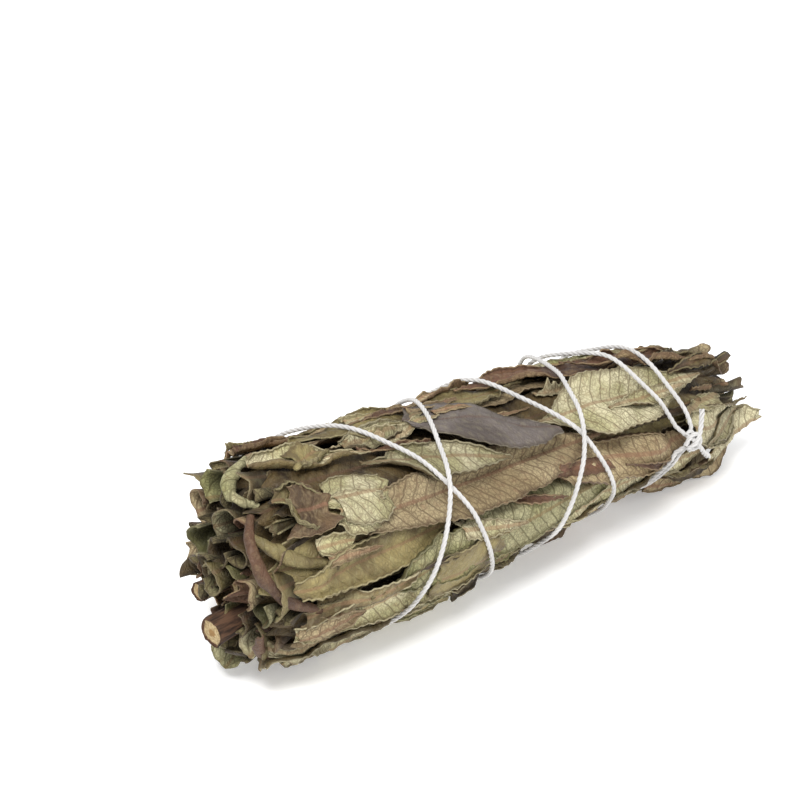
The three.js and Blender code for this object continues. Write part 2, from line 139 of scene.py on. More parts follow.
def measure_offset():
    """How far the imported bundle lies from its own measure, read off the middle sprig's cut end."""
    name, x, angle, offset = CENTRE_SPRIG
    end = cut_ring(name).mean(axis=0)
    reach = offset * core_radius(x) / core_radius(STATIONS[0])
    y = -reach * math.cos(math.radians(angle))
    z = FLAT_SHARE * core_radius(x) + reach * math.sin(math.radians(angle))
    return end - np.array([x, y, z])


OFFSET = measure_offset()


def axis_height(x):
    """Height of the bundle's axis over the floor."""
    return FLAT_SHARE * core_radius(x) + OFFSET[2]


def to_polar(points):
    """Stations, angles and distances from the axis of points in space."""
    x = points[:, 0] - OFFSET[0]
    y = points[:, 1] - OFFSET[1]
    z = points[:, 2] - axis_height(x)
    return x, np.degrees(np.arctan2(z, -y)), np.hypot(y, z)


def to_space(x, angle, r):
    """Points in space at a station, an angle and a distance from the axis."""
    a = np.radians(angle)
    y = OFFSET[1] - r * np.cos(a)
    return np.stack([x + OFFSET[0] + 0 * y, y, axis_height(x) + r * np.sin(a)], axis=-1)


# ---- The twine's course, as the frame has it ----

winding_station = through(
    [0, 392, 752, FURTHEST_TURN, 1112, 1472, WINDING], [32.6, 7.5, -25, -39.5, -25, 7.5, 36.0]
)
ring_upper = through([-360, -270, -180], [35.6, 31.8, 24.4])


def winding_x(turned):
    """The twine's station after so many degrees, down the bundle and back."""
    direction = np.where(turned < FURTHEST_TURN, -1.0, 1.0)
    sway = TWINE_SWAY * np.sin(np.radians(KNOT_ANGLE + turned - FRONT_CROSSING))
    return winding_station(turned) + direction * sway


def twine_x(turned):
    """The twine's station at any degree, with the ring beside the knot below zero."""
    turned = np.asarray(turned, float)
    beside = winding_x(turned + WINDING) + PARALLEL_SPACING
    return np.where(turned >= 0, winding_x(turned), np.where(turned < -180, ring_upper(turned), beside))


def strand_distance(x, angle):
    """Millimetres along the bundle from each place to the nearest strand."""
    nearest = np.full(np.shape(x), 99.0)
    first = np.mod(angle - KNOT_ANGLE, 360) - 720
    for turn in range(8):
        turned = first + 360 * turn
        inside = (turned > -RING_TURN) & (turned < WINDING)
        nearest = np.where(inside, np.minimum(nearest, np.abs(x - twine_x(turned))), nearest)
    return nearest


# ---- Noise and interpolation on grids ----


def lattice_noise(a, b, seed, wrap=256):
    """Smooth noise from -1 to 1, one lattice cell to a unit, repeating every wrap cells of b."""
    cells = np.random.default_rng(seed).uniform(-1, 1, (256, 256))
    i, j = np.floor(a).astype(int), np.floor(b).astype(int)
    s, t = smooth(a - i), smooth(b - j)

    def at(di, dj):
        return cells[(i + di) % 256, (j + dj) % wrap]

    low = at(0, 0) * (1 - s) + at(1, 0) * s
    high = at(0, 1) * (1 - s) + at(1, 1) * s
    return low * (1 - t) + high * t


def bundle_crumple(x, angle):
    """Crumples that neighbouring leaves share, so that they nest: height in millimetres."""
    return (
        0.34 * lattice_noise(x / 9, angle / 22.5, 11, 16)
        + 0.20 * lattice_noise(x / 4, angle / 10, 12, 36)
        + 0.26 * lattice_noise(x / 15, angle / 5, 13, 72)
    )


def cubic(p0, p1, p2, p3, t):
    """A smooth value between p1 and p2."""
    return 0.5 * (
        2 * p1 + (p2 - p0) * t + (2 * p0 - 5 * p1 + 4 * p2 - p3) * t**2 + (3 * p1 - p0 - 3 * p2 + p3) * t**3
    )


def along_rows(values, at):
    """Rows of values read smoothly at fractional row numbers."""
    last = len(values) - 1
    i = np.clip(np.floor(at).astype(int), 0, last - 1)
    t = (at - i).reshape((-1,) + (1,) * (values.ndim - 1))
    return cubic(*(values[np.clip(i + k, 0, last)] for k in (-1, 0, 1, 2)), t)


def across_rows(values, at):
    """Each row of values read smoothly at that row's own fractional places."""
    last = values.shape[1] - 1
    i = np.clip(np.floor(at).astype(int), 0, last - 1)
    near = (np.take_along_axis(values, np.clip(i + k, 0, last), axis=1) for k in (-1, 0, 1, 2))
    return cubic(*near, at - i)


# ---- Reading the frame's leaves and sprigs ----


def leaf_rows(name):
    """A CAD leaf's stations, and each row's angles, outer radii and inner radii."""
    x, angle, r = to_polar(node_points(name))
    groups = rows_along(x)
    stations, angles, outer, inner = [], [], [], []
    centre = None
    for group in groups:
        if len(group) != len(groups[0]) or len(group) % 2:
            raise RuntimeError(f"{name} has a row of {len(group)} corners")
        if centre is None:
            turns = np.radians(angle[group])
            centre = math.degrees(math.atan2(np.sin(turns).sum(), np.cos(turns).sum()))
        near = centre + np.mod(angle[group] - centre + 180, 360) - 180
        rank = np.argsort(near)
        a, radii = near[rank].reshape(-1, 2), r[group][rank].reshape(-1, 2)
        centre = a.mean()
        stations.append(x[group].mean())
        angles.append(a.mean(axis=1))
        outer.append(radii.max(axis=1))
        inner.append(radii.min(axis=1))
    return np.array(stations), np.array(angles), np.array(outer), np.array(inner)


def surface_above():
    """A tree of all the CAD's leaves, to find the top of the stack from outside."""
    corners, faces = [], []
    for name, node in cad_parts.items():
        if "leaf" not in name:
            continue
        triangles = np.empty(len(node.data.loops), np.int32)
        node.data.loops.foreach_get("vertex_index", triangles)
        faces.extend((triangles.reshape(-1, 3) + len(corners)).tolist())
        corners.extend((mesh_corners(node.data) * 1000).tolist())
    return BVHTree.FromPolygons(corners, faces)


def ray_radius(tree, x, angle, outside=True):
    """Distance from the axis at which a ray meets the tree, or None."""
    far, near = (to_space(np.array(x), np.array(angle), np.array(r)) for r in (45.0, 0.0))
    start, end = (far, near) if outside else (near, far)
    way = Vector(end - start).normalized()
    hit = tree.ray_cast(Vector(start), way)[0]
    return None if hit is None else float(to_polar(np.array([hit]))[2][0])


# ---- Meshes ----


def linear(value):
    """A colour given as sRGB hex, as linear RGBA."""
    channels = [int(value[i : i + 2], 16) / 255 for i in (1, 3, 5)]
    return tuple(c / 12.92 if c <= 0.04045 else ((c + 0.055) / 1.055) ** 2.4 for c in channels) + (1.0,)


def mesh_object(name, points, faces, attributes, material):
    """A smooth mesh object from millimetre points, faces and vector attributes of the points."""
    mesh = bpy.data.meshes.new(name)
    mesh.from_pydata((np.asarray(points) * MM).tolist(), [], faces)
    for key, values in attributes.items():
        made = mesh.attributes.new(key, "FLOAT_VECTOR", "POINT")
        made.data.foreach_set("vector", np.asarray(values, np.float32).ravel())
    mesh.polygons.foreach_set("use_smooth", np.ones(len(mesh.polygons), bool))
    mesh.materials.append(material)
    mesh.validate()
    mesh.update()
    piece = bpy.data.objects.new(name, mesh)
    bpy.context.scene.collection.objects.link(piece)
    return piece


def sheet_faces(rows, columns):
    """Faces of a closed sheet whose outer grid comes first and its inner grid after it."""
    i, j = np.meshgrid(np.arange(rows - 1), np.arange(columns - 1), indexing="ij")
    a = (i * columns + j).ravel()
    b, c, d = a + columns, a + columns + 1, a + 1
    lower = rows * columns
    top = np.stack([a, b, c, d], axis=1)
    under = np.stack([a, d, c, b], axis=1) + lower
    i, j = np.arange(rows - 1), np.arange(columns - 1)
    left, right = i * columns, i * columns + columns - 1
    first, last = j, (rows - 1) * columns + j
    rim = [
        np.stack([left, left + lower, left + lower + columns, left + columns], axis=1),
        np.stack([right, right + columns, right + lower + columns, right + lower], axis=1),
        np.stack([first, first + 1, first + lower + 1, first + lower], axis=1),
        np.stack([last, last + lower, last + lower + 1, last + 1], axis=1),
    ]
    return np.concatenate([top, under, *rim]).tolist()


def two_faced(sheet, thickness, run, across, patch, netted, margin, tone_and_shade):
    """A sheet's two faces: points, grid shape, and the leaf's own measure and look at each point.

    Netted is 1 where the outer face is the felted one. The patch sets each leaf's pattern apart. Tone and
    shade darkens or lightens the colour: a random tone on each leaf, and painted shade deep between the end
    curls.
    """
    normal = np.cross(np.gradient(sheet, axis=0), np.gradient(sheet, axis=1))
    normal /= np.maximum(np.linalg.norm(normal, axis=2, keepdims=True), 1e-9)
    away = normal * thickness / MM / 2
    points = np.concatenate([(sheet + away).reshape(-1, 3), (sheet - away).reshape(-1, 3)])
    points[:, 2] = np.maximum(points[:, 2], FLOOR_GAP)
    shape = sheet.shape[:2]
    measure = [np.tile(np.broadcast_to(v, shape).ravel(), 2) for v in (run, across, patch)]
    margin, tone_and_shade = (np.tile(np.broadcast_to(v, shape).ravel(), 2) for v in (margin, tone_and_shade))
    felted = np.repeat([float(netted), 1 - float(netted)], shape[0] * shape[1])
    look = np.stack([felted, margin, tone_and_shade], axis=1)
    return points, shape, {"leaf_mm": np.stack(measure, axis=1), "leaf_look": look}


def backness(angle):
    """1 at the back, a little above the middle, and 0 at the front."""
    return 0.5 + 0.5 * np.cos(np.radians(angle - 160))


class Leaf:
    """How one leaf is cut, curled and coloured.

    Its base is a stalk or torn and its tip a point or torn. Roll is how much of each margin rolls
    over, ruffle how far the margins wave, splay how far the ends stand off, rag how ragged a torn
    end is, and step the spacing of its mesh, all in millimetres. Rib, crumple and widen are shares.
    """

    def __init__(
        self, finish="pale", base="stalk", tip="point", roll=(1.2, 1.2), ruffle=0.25, splay=0.0,
        rib=1.0, netted=None, crumple=1.0, step=0.5, widen=1.05, rag=1.1,
    ):
        """Keep the leaf's settings; pale, tan and green leaves show their netted side unless told."""
        self.finish, self.base, self.tip, self.roll = finish, base, tip, roll
        self.ruffle, self.splay, self.rib, self.crumple = ruffle, splay, rib, crumple
        self.step, self.widen, self.rag = step, widen, rag
        self.netted = finish in ("pale", "tan", "green") if netted is None else netted


def outline(to_base, to_tip, leaf):
    """Share of the full width at each distance from the two ends."""
    base = {"stalk": 0.2 + 0.8 * smooth(to_base / 11), "torn": 0.86 + 0.14 * smooth(to_base / 4)}
    tip = {"point": 0.1 + 0.9 * np.clip(to_tip / 10, 0, 1) ** 0.6, "torn": 0.7 + 0.3 * smooth(to_tip / 4)}
    return base[leaf.base] * tip[leaf.tip]


def leaf_relief(leaf, sizes, to_base, to_tip, away, slow):
    """Height of the leaf's ridges: side veins, and the rib with a hollow on either side."""
    face = 1.0 if leaf.netted else -1.0
    length = (to_base + to_tip)[0]
    along_leaf = to_base[:, None] + 0 * away
    ribs = (along_leaf - VEIN_LEAN * away) / (sizes.vein_spacing / MM) + 0.12 * slow[:, None]
    between = np.abs(np.mod(ribs, 1) - 0.5) * 2
    side_veins = 0.17 * (smooth((between - 0.55) / 0.4) - 0.5)
    rib = 0.34 * np.exp(-((away / 0.42) ** 2)) * (0.35 + 0.65 * to_tip / length)[:, None]
    beside_rib = 0.12 * np.exp(-(((away - 1.0) / 0.5) ** 2))
    return face * leaf.rib * (side_veins + rib - beside_rib)


def leaf_ends(leaf, sizes, seed, x, theta):
    """How the outer leaves splay and crinkle past the last winding, and tuck in at the two ends."""
    past = smooth((-47 - x) / 14) + smooth((x - 47) / 14) * 0.6
    coarse = lattice_noise(theta / 15 + 100, x / 9 + 40, 21)
    crinkle = coarse + 0.6 * lattice_noise(theta / 6 + 30, x / 5 + 40, seed + 21)
    uneven = 0.55 + 0.45 * lattice_noise(theta / 30, 0 * x + 4, 22)
    tuck = sizes.end_tuck / MM * smooth((-54 - x) / 12) ** 1.5 * uneven
    tuck = tuck + 0.6 * sizes.end_tuck / MM * smooth((x - 46) / 18)
    return past * (leaf.splay + sizes.end_crinkle / MM * crinkle) - tuck


def leaf_sheet(number, rows, leaf, sizes):
    """A leaf's points, grid shape and attributes, from a CAD leaf's rows."""
    stations, angles, outer, inner = rows
    length = stations[-1] - stations[0]
    count = max(8, int(round(length / leaf.step)))
    at = np.linspace(0, 1, count + 1) * (len(stations) - 1)
    x = along_rows(stations, at)
    turns = along_rows(angles, at)
    middle = (turns[:, 0] + turns[:, -1]) / 2
    half = np.radians(turns[:, -1] - turns[:, 0]) / 2
    radii = along_rows((outer + inner) / 2, at)
    reach = radii.mean(axis=1)
    seed = 1000 + number * 17

    # The outline, with its teeth, laid out flat.
    to_base, to_tip = x - stations[0], stations[-1] - x
    width = half * reach * outline(to_base, to_tip, leaf) * leaf.widen
    slow = lattice_noise(to_base / 7, to_base * 0 + 3.3, seed)
    columns = max(6, int(round(2 * width.max() / leaf.step)))
    v = np.linspace(-1, 1, columns + 1)
    side = np.where(v < 0, 0, 1)
    edges = [lattice_noise(to_base / 5, to_base * 0 + 7.7 + k, seed + k) for k in (0, 1)]
    edges = np.stack(edges, axis=1)
    tooth = to_base / (sizes.tooth_spacing / MM) + 0.3 * slow
    teeth = sizes.tooth_depth / MM * np.abs(np.sin(np.pi * tooth))
    margin = np.maximum(width[:, None] * (1 + 0.10 * edges) - teeth[:, None], 0.12)[:, side]
    flat = v[None, :] * margin
    away = np.abs(flat)
    spread = away / np.maximum(margin, 0.2)
    along_leaf, xx = to_base[:, None] + 0 * flat, x[:, None] + 0 * flat

    # The twine presses the leaf down and holds its margins flat.
    distance = strand_distance(xx, middle[:, None] + np.degrees(flat / reach[:, None]))
    press = np.exp(-((distance / 1.7) ** 2))
    free = 1 - press

    # The margins roll over, each by its own amount.
    roll = np.array(leaf.roll)[side][None, :] * (0.75 + 0.55 * edges[:, side])
    roll = np.minimum(roll, 0.75 * margin) * np.sqrt(free)
    bend = np.maximum(0.42, roll / 2.7)
    over = np.maximum(away - (margin - roll), 0) / bend
    lying = np.where(over > 0, away - over * bend + bend * np.sin(over), away) * np.sign(flat)
    lift = bend * (1 - np.cos(over))

    place = lying / np.maximum(half * reach, 0.1)[:, None]
    r = across_rows(radii, np.clip((place + 1) / 2, 0, 1) * (angles.shape[1] - 1))
    theta = middle[:, None] + np.degrees(lying / reach[:, None])
    height = leaf.crumple * bundle_crumple(xx, theta)
    height = height + 0.13 * lattice_noise(along_leaf / 2.6, flat / 2.0 + 50, seed + 5)
    height = height + leaf_relief(leaf, sizes, to_base, to_tip, away, slow)
    waves = lattice_noise(along_leaf / 3.2, side[None, :] * 9.0 + 0 * flat + 3, seed + 9)
    height = height + leaf.ruffle * spread**3 * waves
    height = height * free + lift - 0.2 * press + 0.3 * smooth((distance - 2) / 6)
    height = height + leaf_ends(leaf, sizes, seed, xx, theta)

    # The bundle is cut a little shorter at its back; torn ends are ragged along the leaf.
    xx = xx + sizes.cut_slant / MM * backness(theta) * smooth((-42 - xx) / 22)
    rag = leaf.rag * lattice_noise(flat / 1.3 + 90, 0 * flat + 2.2, seed + 31)
    rag = rag + leaf.rag * 0.8 * lattice_noise(flat / 3.1 + 90, 0 * flat + 6.2, seed + 32)
    if leaf.base == "torn":
        xx = xx - rag * (1 - smooth(to_base / 6))[:, None]
    if leaf.tip == "torn":
        xx = xx + rag * (1 - smooth(to_tip / 6))[:, None]

    sheet = to_space(xx, theta, r + height)
    tone_and_shade = np.random.default_rng(seed).uniform(0, 1)
    return two_faced(
        sheet, sizes.thickness, along_leaf, flat, number * 13.7, leaf.netted, margin - away, tone_and_shade
    )


# ---- Materials ----


MATH, VECTOR = "ShaderNodeMath", "ShaderNodeVectorMath"
MIX, COLOURS = "ShaderNodeMix", {"data_type": "RGBA", "clamp_factor": True}
RANGE, EASED = "ShaderNodeMapRange", {"interpolation_type": "SMOOTHSTEP"}
NOISE, SPLIT = "ShaderNodeTexNoise", "ShaderNodeSeparateXYZ"


def add_node(tree, kind, settings=None, *values, **inputs):
    """Add a node with its settings and links.

    Settings are a dictionary or the name of an operation. Values fill the node's inputs in order,
    and named inputs follow. Each is a value, an output, or a node that gives its first output.
    """
    node = tree.nodes.new(kind)
    if isinstance(settings, str):
        settings = {"operation": settings}
    for key, value in (settings or {}).items():
        setattr(node, key, value)
    sockets = [socket for socket in node.inputs if socket.enabled]
    pairs = [*zip(sockets, values), *((node.inputs[k.replace("_", " ")], v) for k, v in inputs.items())]
    for socket, value in pairs:
        if isinstance(value, bpy.types.Node):
            value = next(output for output in value.outputs if output.enabled)
        if isinstance(value, bpy.types.NodeSocket):
            tree.links.new(value, socket)
        else:
            socket.default_value = value
    return node


def new_material(name):
    """A material without nodes, its node tree, and the function that adds a node to it."""
    material = bpy.data.materials.new(name)
    material.use_nodes = True
    material.node_tree.nodes.clear()
    return material, material.node_tree, partial(add_node, material.node_tree)


def finish_material(tree, shader):
    """Show the shader on the surface."""
    out = tree.nodes.new("ShaderNodeOutputMaterial")
    tree.links.new(shader.outputs["BSDF"], out.inputs["Surface"])


# Dried leaf: a felted underside, pale and netted with dark veins, and a resinous upper side.
# Colours: felt, felt in patches, veins, rib, upper side, upper side in patches.
LEAF_COLOURS = {
    "pale": ("#CBC39E", "#ACA67A", "#57482F", "#86694A", "#76663F", "#4C3D28"),
    "tan": ("#B4A27B", "#988560", "#54402C", "#7C5841", "#6C5335", "#453421"),
    "green": ("#B8B288", "#95935F", "#4E4728", "#80673F", "#6C693C", "#4B472A"),
    "olive": ("#B2A87C", "#948D5F", "#51432C", "#7E6142", "#86784A", "#594B2C"),
    "grey": ("#ABA28A", "#92896E", "#504436", "#6B564B", "#7B716C", "#5E544F"),
    "russet": ("#AD966E", "#917A58", "#4F3726", "#6C4936", "#64452F", "#3F2A1C"),
    # The core colours are darker than the rest: partly a leaf's own tone, partly painted shade for leaves
    # deep inside the bundle.
    "core": ("#968A60", "#6C6240", "#33271A", "#58402C", "#574626", "#2A2015"),
}


def leaf_material(name):
    """Dried leaf, felted below and resinous above, with its veins drawn in millimetres."""
    felt, felt_patch, vein, rib, upper, upper_patch = (linear(c) for c in LEAF_COLOURS[name])
    material, tree, node = new_material(f"dried_leaf_{name}")
    place = node("ShaderNodeAttribute", {"attribute_name": "leaf_mm"}).outputs["Vector"]
    look = node("ShaderNodeAttribute", {"attribute_name": "leaf_look"}).outputs["Vector"]
    woolly, margin, tone_and_shade = node(SPLIT, None, look).outputs
    wander = node(NOISE, Vector=place, Scale=0.55, Detail=2.0).outputs["Color"]
    wander = node(VECTOR, "SUBTRACT", wander, (0.5, 0.5, 0.5))
    wander = node(VECTOR, "SCALE", wander, 0.8)
    warped = node(VECTOR, "ADD", place, wander)
    run, across, _ = node(SPLIT, None, warped).outputs
    away = node(MATH, "ABSOLUTE", across)

    # Veins that leave the rib every few millimetres and lean towards the tip.
    slanted = node(MATH, "MULTIPLY_ADD", away, -VEIN_LEAN, run)
    share = MM / bpy.context.scene.herb_leaves.vein_spacing
    place_between = node(MATH, "FRACT", node(MATH, "MULTIPLY", slanted, share))
    from_vein = node(MATH, "ABSOLUTE", node(MATH, "SUBTRACT", place_between, 0.5))
    lateral = node(RANGE, EASED, from_vein, 0.40, 0.47)
    # The net between them: meshes about 0.8 mm wide, and finer ones of 0.4 mm inside those.
    settings = {"feature": "DISTANCE_TO_EDGE", "voronoi_dimensions": "3D"}
    mesh_wide = node("ShaderNodeTexVoronoi", settings, Vector=warped, Scale=1.2).outputs["Distance"]
    mesh_fine = node("ShaderNodeTexVoronoi", settings, Vector=warped, Scale=2.6).outputs["Distance"]
    net = node(MATH, "MULTIPLY", node(RANGE, EASED, mesh_wide, 0.14, 0.02), 0.85)
    fine_net = node(MATH, "MULTIPLY", node(RANGE, EASED, mesh_fine, 0.14, 0.0), 0.5)
    strength = node(NOISE, Vector=place, Scale=0.22, Detail=2.0).outputs["Fac"]
    strength = node(RANGE, EASED, strength, 0.30, 0.62, 0.65, 1.0)
    veins = node(MATH, "MULTIPLY", node(MATH, "MAXIMUM", net, fine_net), strength)
    veins = node(MATH, "MAXIMUM", veins, lateral)
    _, true_across, _ = node(SPLIT, None, place).outputs
    rib_mask = node(RANGE, EASED, node(MATH, "ABSOLUTE", true_across), 0.42, 0.20)

    patches = node(NOISE, Vector=place, Scale=0.10, Detail=3.0).outputs["Fac"]
    patch = node(RANGE, EASED, patches, 0.42, 0.62)
    mottle = node(NOISE, Vector=place, Scale=0.9, Detail=4.0).outputs["Fac"]
    felted = node(MIX, COLOURS, patch, felt, felt_patch)
    brown_share = node(MATH, "MULTIPLY", node(RANGE, EASED, mottle, 0.5, 0.75), 0.45)
    felted = node(MIX, COLOURS, brown_share, felted, rib)
    felted = node(MIX, COLOURS, node(MATH, "MULTIPLY", veins, 0.72), felted, vein)
    waxy = node(MIX, COLOURS, patch, upper, upper_patch)
    worn_share = node(MATH, "MULTIPLY", node(RANGE, EASED, mottle, 0.45, 0.7), 0.35)
    waxy = node(MIX, COLOURS, worn_share, waxy, felt_patch)
    waxy = node(MIX, COLOURS, node(MATH, "MULTIPLY", veins, 0.35), waxy, vein)
    colour = node(MIX, COLOURS, woolly, waxy, felted)
    colour = node(MIX, COLOURS, node(MATH, "MULTIPLY", rib_mask, 0.6), colour, rib)
    # The toothed margin is dried hard: brown just inside, darkened further by painted shade along the rolled
    # margin, with a pale broken edge.
    brown_and_shaded_edge = node(MATH, "MULTIPLY", node(RANGE, EASED, margin, 1.0, 0.2), 0.6)
    colour = node(MIX, COLOURS, brown_and_shaded_edge, colour, vein)
    pale_edge = node(MATH, "MULTIPLY", node(RANGE, EASED, margin, 0.10, 0.01), 0.30)
    colour = node(MIX, COLOURS, pale_edge, colour, felt)
    # Each leaf's random tone, and the painted shade that deepens between the end curls, set the colour's
    # value.
    shade = node(RANGE, EASED, tone_and_shade, -1.0, 1.0, 0.32, 1.17)
    colour = node("ShaderNodeHueSaturation", Color=colour, Value=shade, Saturation=0.95).outputs[0]

    grain = node(NOISE, Vector=place, Scale=5.0, Detail=3.0).outputs["Fac"]
    relief = node(MATH, "MULTIPLY_ADD", grain, 0.35, node(MATH, "MULTIPLY", veins, -0.8))
    bump = node("ShaderNodeBump", Height=relief, Strength=0.8, Distance=0.00022)
    rough = node(RANGE, EASED, woolly, 0.0, 1.0, 0.55, 0.9)
    shader = node(
        "ShaderNodeBsdfPrincipled",
        Base_Color=colour, Roughness=rough, Normal=bump, Specular_IOR_Level=0.35,
    )
    finish_material(tree, shader)
    return material


def bark_material():
    """Woody sprig: dull red-brown furrowed bark, and a rough cut end with a darker pith and rim.

    Furrows are about 4 mm long and 0.7 mm wide, and the grain of the cut wood is about 0.4 mm.
    """
    material, tree, node = new_material("dried_sprig_bark")
    place = node("ShaderNodeAttribute", {"attribute_name": "sprig_mm"}).outputs["Vector"]
    _, radius, cut = node(SPLIT, None, place).outputs
    coordinates = node("ShaderNodeTexCoord").outputs["Object"]
    stretched = node("ShaderNodeMapping", Vector=coordinates, Scale=(250.0, 1500.0, 1500.0)).outputs[0]
    furrows = node(NOISE, Vector=stretched, Scale=1.0, Detail=4.0).outputs["Fac"]
    bark = node(MIX, COLOURS, node(RANGE, EASED, furrows, 0.35, 0.65), linear("#2A1D15"), linear("#59402F"))
    grain = node(NOISE, Vector=coordinates, Scale=2600.0, Detail=3.0).outputs["Fac"]
    wood = node(MIX, COLOURS, node(RANGE, EASED, grain, 0.3, 0.7), linear("#8A7450"), linear("#B3A07A"))
    uneven = node(MATH, "MULTIPLY_ADD", furrows, 0.3, node(MATH, "SUBTRACT", radius, 0.15))
    pith = node(MIX, COLOURS, node(RANGE, EASED, uneven, 0.40, 0.22), wood, linear("#86683F"))
    ring = node(MIX, COLOURS, node(RANGE, EASED, uneven, 0.78, 0.92), pith, linear("#4A3222"))
    colour = node(MIX, COLOURS, cut, bark, ring)
    bump = node("ShaderNodeBump", Height=furrows, Strength=0.7, Distance=0.00025)
    shader = node(
        "ShaderNodeBsdfPrincipled",
        Base_Color=colour, Roughness=0.8, Normal=bump, Specular_IOR_Level=0.3,
    )
    finish_material(tree, shader)
    return material


def cotton_material(colour):
    """Bleached cotton: soft, slightly uneven white, dusty in places.

    Real fibres of about 0.02 mm are too fine to show, so they are drawn about 0.24 mm wide.
    """
    material, tree, node = new_material("bleached_cotton_twine")
    coordinates = node("ShaderNodeTexCoord").outputs["Object"]
    fibres = node(NOISE, Vector=coordinates, Scale=4200.0, Detail=3.0).outputs["Fac"]
    cloudy = node(NOISE, Vector=coordinates, Scale=350.0, Detail=2.0).outputs["Fac"]
    dusty = tuple(c * 0.80 for c in colour[:3]) + (1.0,)
    clean = tuple(colour[:3]) + (1.0,)
    tone = node(MIX, COLOURS, node(RANGE, EASED, cloudy, 0.35, 0.7, 0.0, 0.5), clean, dusty)
    tone = node(MIX, COLOURS, node(RANGE, EASED, fibres, 0.55, 0.8, 0.0, 0.35), tone, dusty)
    bump = node("ShaderNodeBump", Height=fibres, Strength=0.4, Distance=0.00008)
    shader = node(
        "ShaderNodeBsdfPrincipled",
        Base_Color=tone, Roughness=0.95, Normal=bump, Specular_IOR_Level=0.2,
        Sheen_Weight=0.25, Sheen_Roughness=0.6,
    )
    finish_material(tree, shader)
    return material


made_leaf_materials = {}


def leaf_finish(name):
    """The leaf material of that name, made once."""
    if name not in made_leaf_materials:
        made_leaf_materials[name] = leaf_material(name)
    return made_leaf_materials[name]


def finish_piece(piece, slot, *nodes):
    """Every piece of the bundle rides on its one body."""
    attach(piece, "root")
    if nodes:
        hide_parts(*nodes)


# ---- Sizes and colours that a user would change ----


class LeafSizes(bpy.types.PropertyGroup):
    """Sizes of the leaves' own features."""

    thickness: FloatProperty(
        name="Thickness", description="Leaf thickness", default=0.00028, unit="LENGTH"
    )
    vein_spacing: FloatProperty(
        name="Vein spacing", description="Between side veins, along the rib", default=0.0027, unit="LENGTH"
    )
    tooth_spacing: FloatProperty(
        name="Tooth spacing", description="Between teeth of the margin", default=0.0019, unit="LENGTH"
    )
    tooth_depth: FloatProperty(
        name="Tooth depth", description="Depth of the teeth", default=0.0003, unit="LENGTH"
    )
    end_crinkle: FloatProperty(
        name="End crinkle", description="How much the leaves' ends crinkle past the twine",
        default=0.0012, unit="LENGTH",
    )
    cut_slant: FloatProperty(
        name="Cut slant", description="How much shorter the back is cut", default=0.0095, unit="LENGTH"
    )
    end_tuck: FloatProperty(
        name="End tuck", description="How far the cut ends curl in", default=0.0050, unit="LENGTH"
    )


class TwineSizes(bpy.types.PropertyGroup):
    """Sizes and colour of the twine."""

    ply_radius: FloatProperty(
        name="Ply radius", description="Radius of one ply", default=0.00024, unit="LENGTH"
    )
    lay_radius: FloatProperty(
        name="Lay radius", description="From the twine's middle to a ply's middle",
        default=0.00020, unit="LENGTH",
    )
    pitch: FloatProperty(
        name="Pitch", description="Length of one full twist", default=0.0034, unit="LENGTH"
    )
    colour: FloatVectorProperty(
        name="Colour", description="Bleached cotton", subtype="COLOR", size=3, default=linear("#C2C0BE")[:3]
    )


class StageSizes(bpy.types.PropertyGroup):
    """The floor and the light."""

    floor_colour: FloatVectorProperty(
        name="Floor", description="Pale floor", subtype="COLOR", size=3, default=linear("#F4F4F4")[:3]
    )
    floor_glow: FloatProperty(
        name="Floor glow", description="How much the light table under the floor lights it",
        default=0.28, min=0.0,
    )
    key_power: FloatProperty(
        name="Key light", description="Power of the large soft lamp", default=4.8, unit="POWER"
    )
    fill_power: FloatProperty(
        name="Fill light", description="Power of the side lamp", default=0.8, unit="POWER"
    )
    sky: FloatProperty(name="Sky", description="Brightness of the even surroundings", default=0.78, min=0.0)


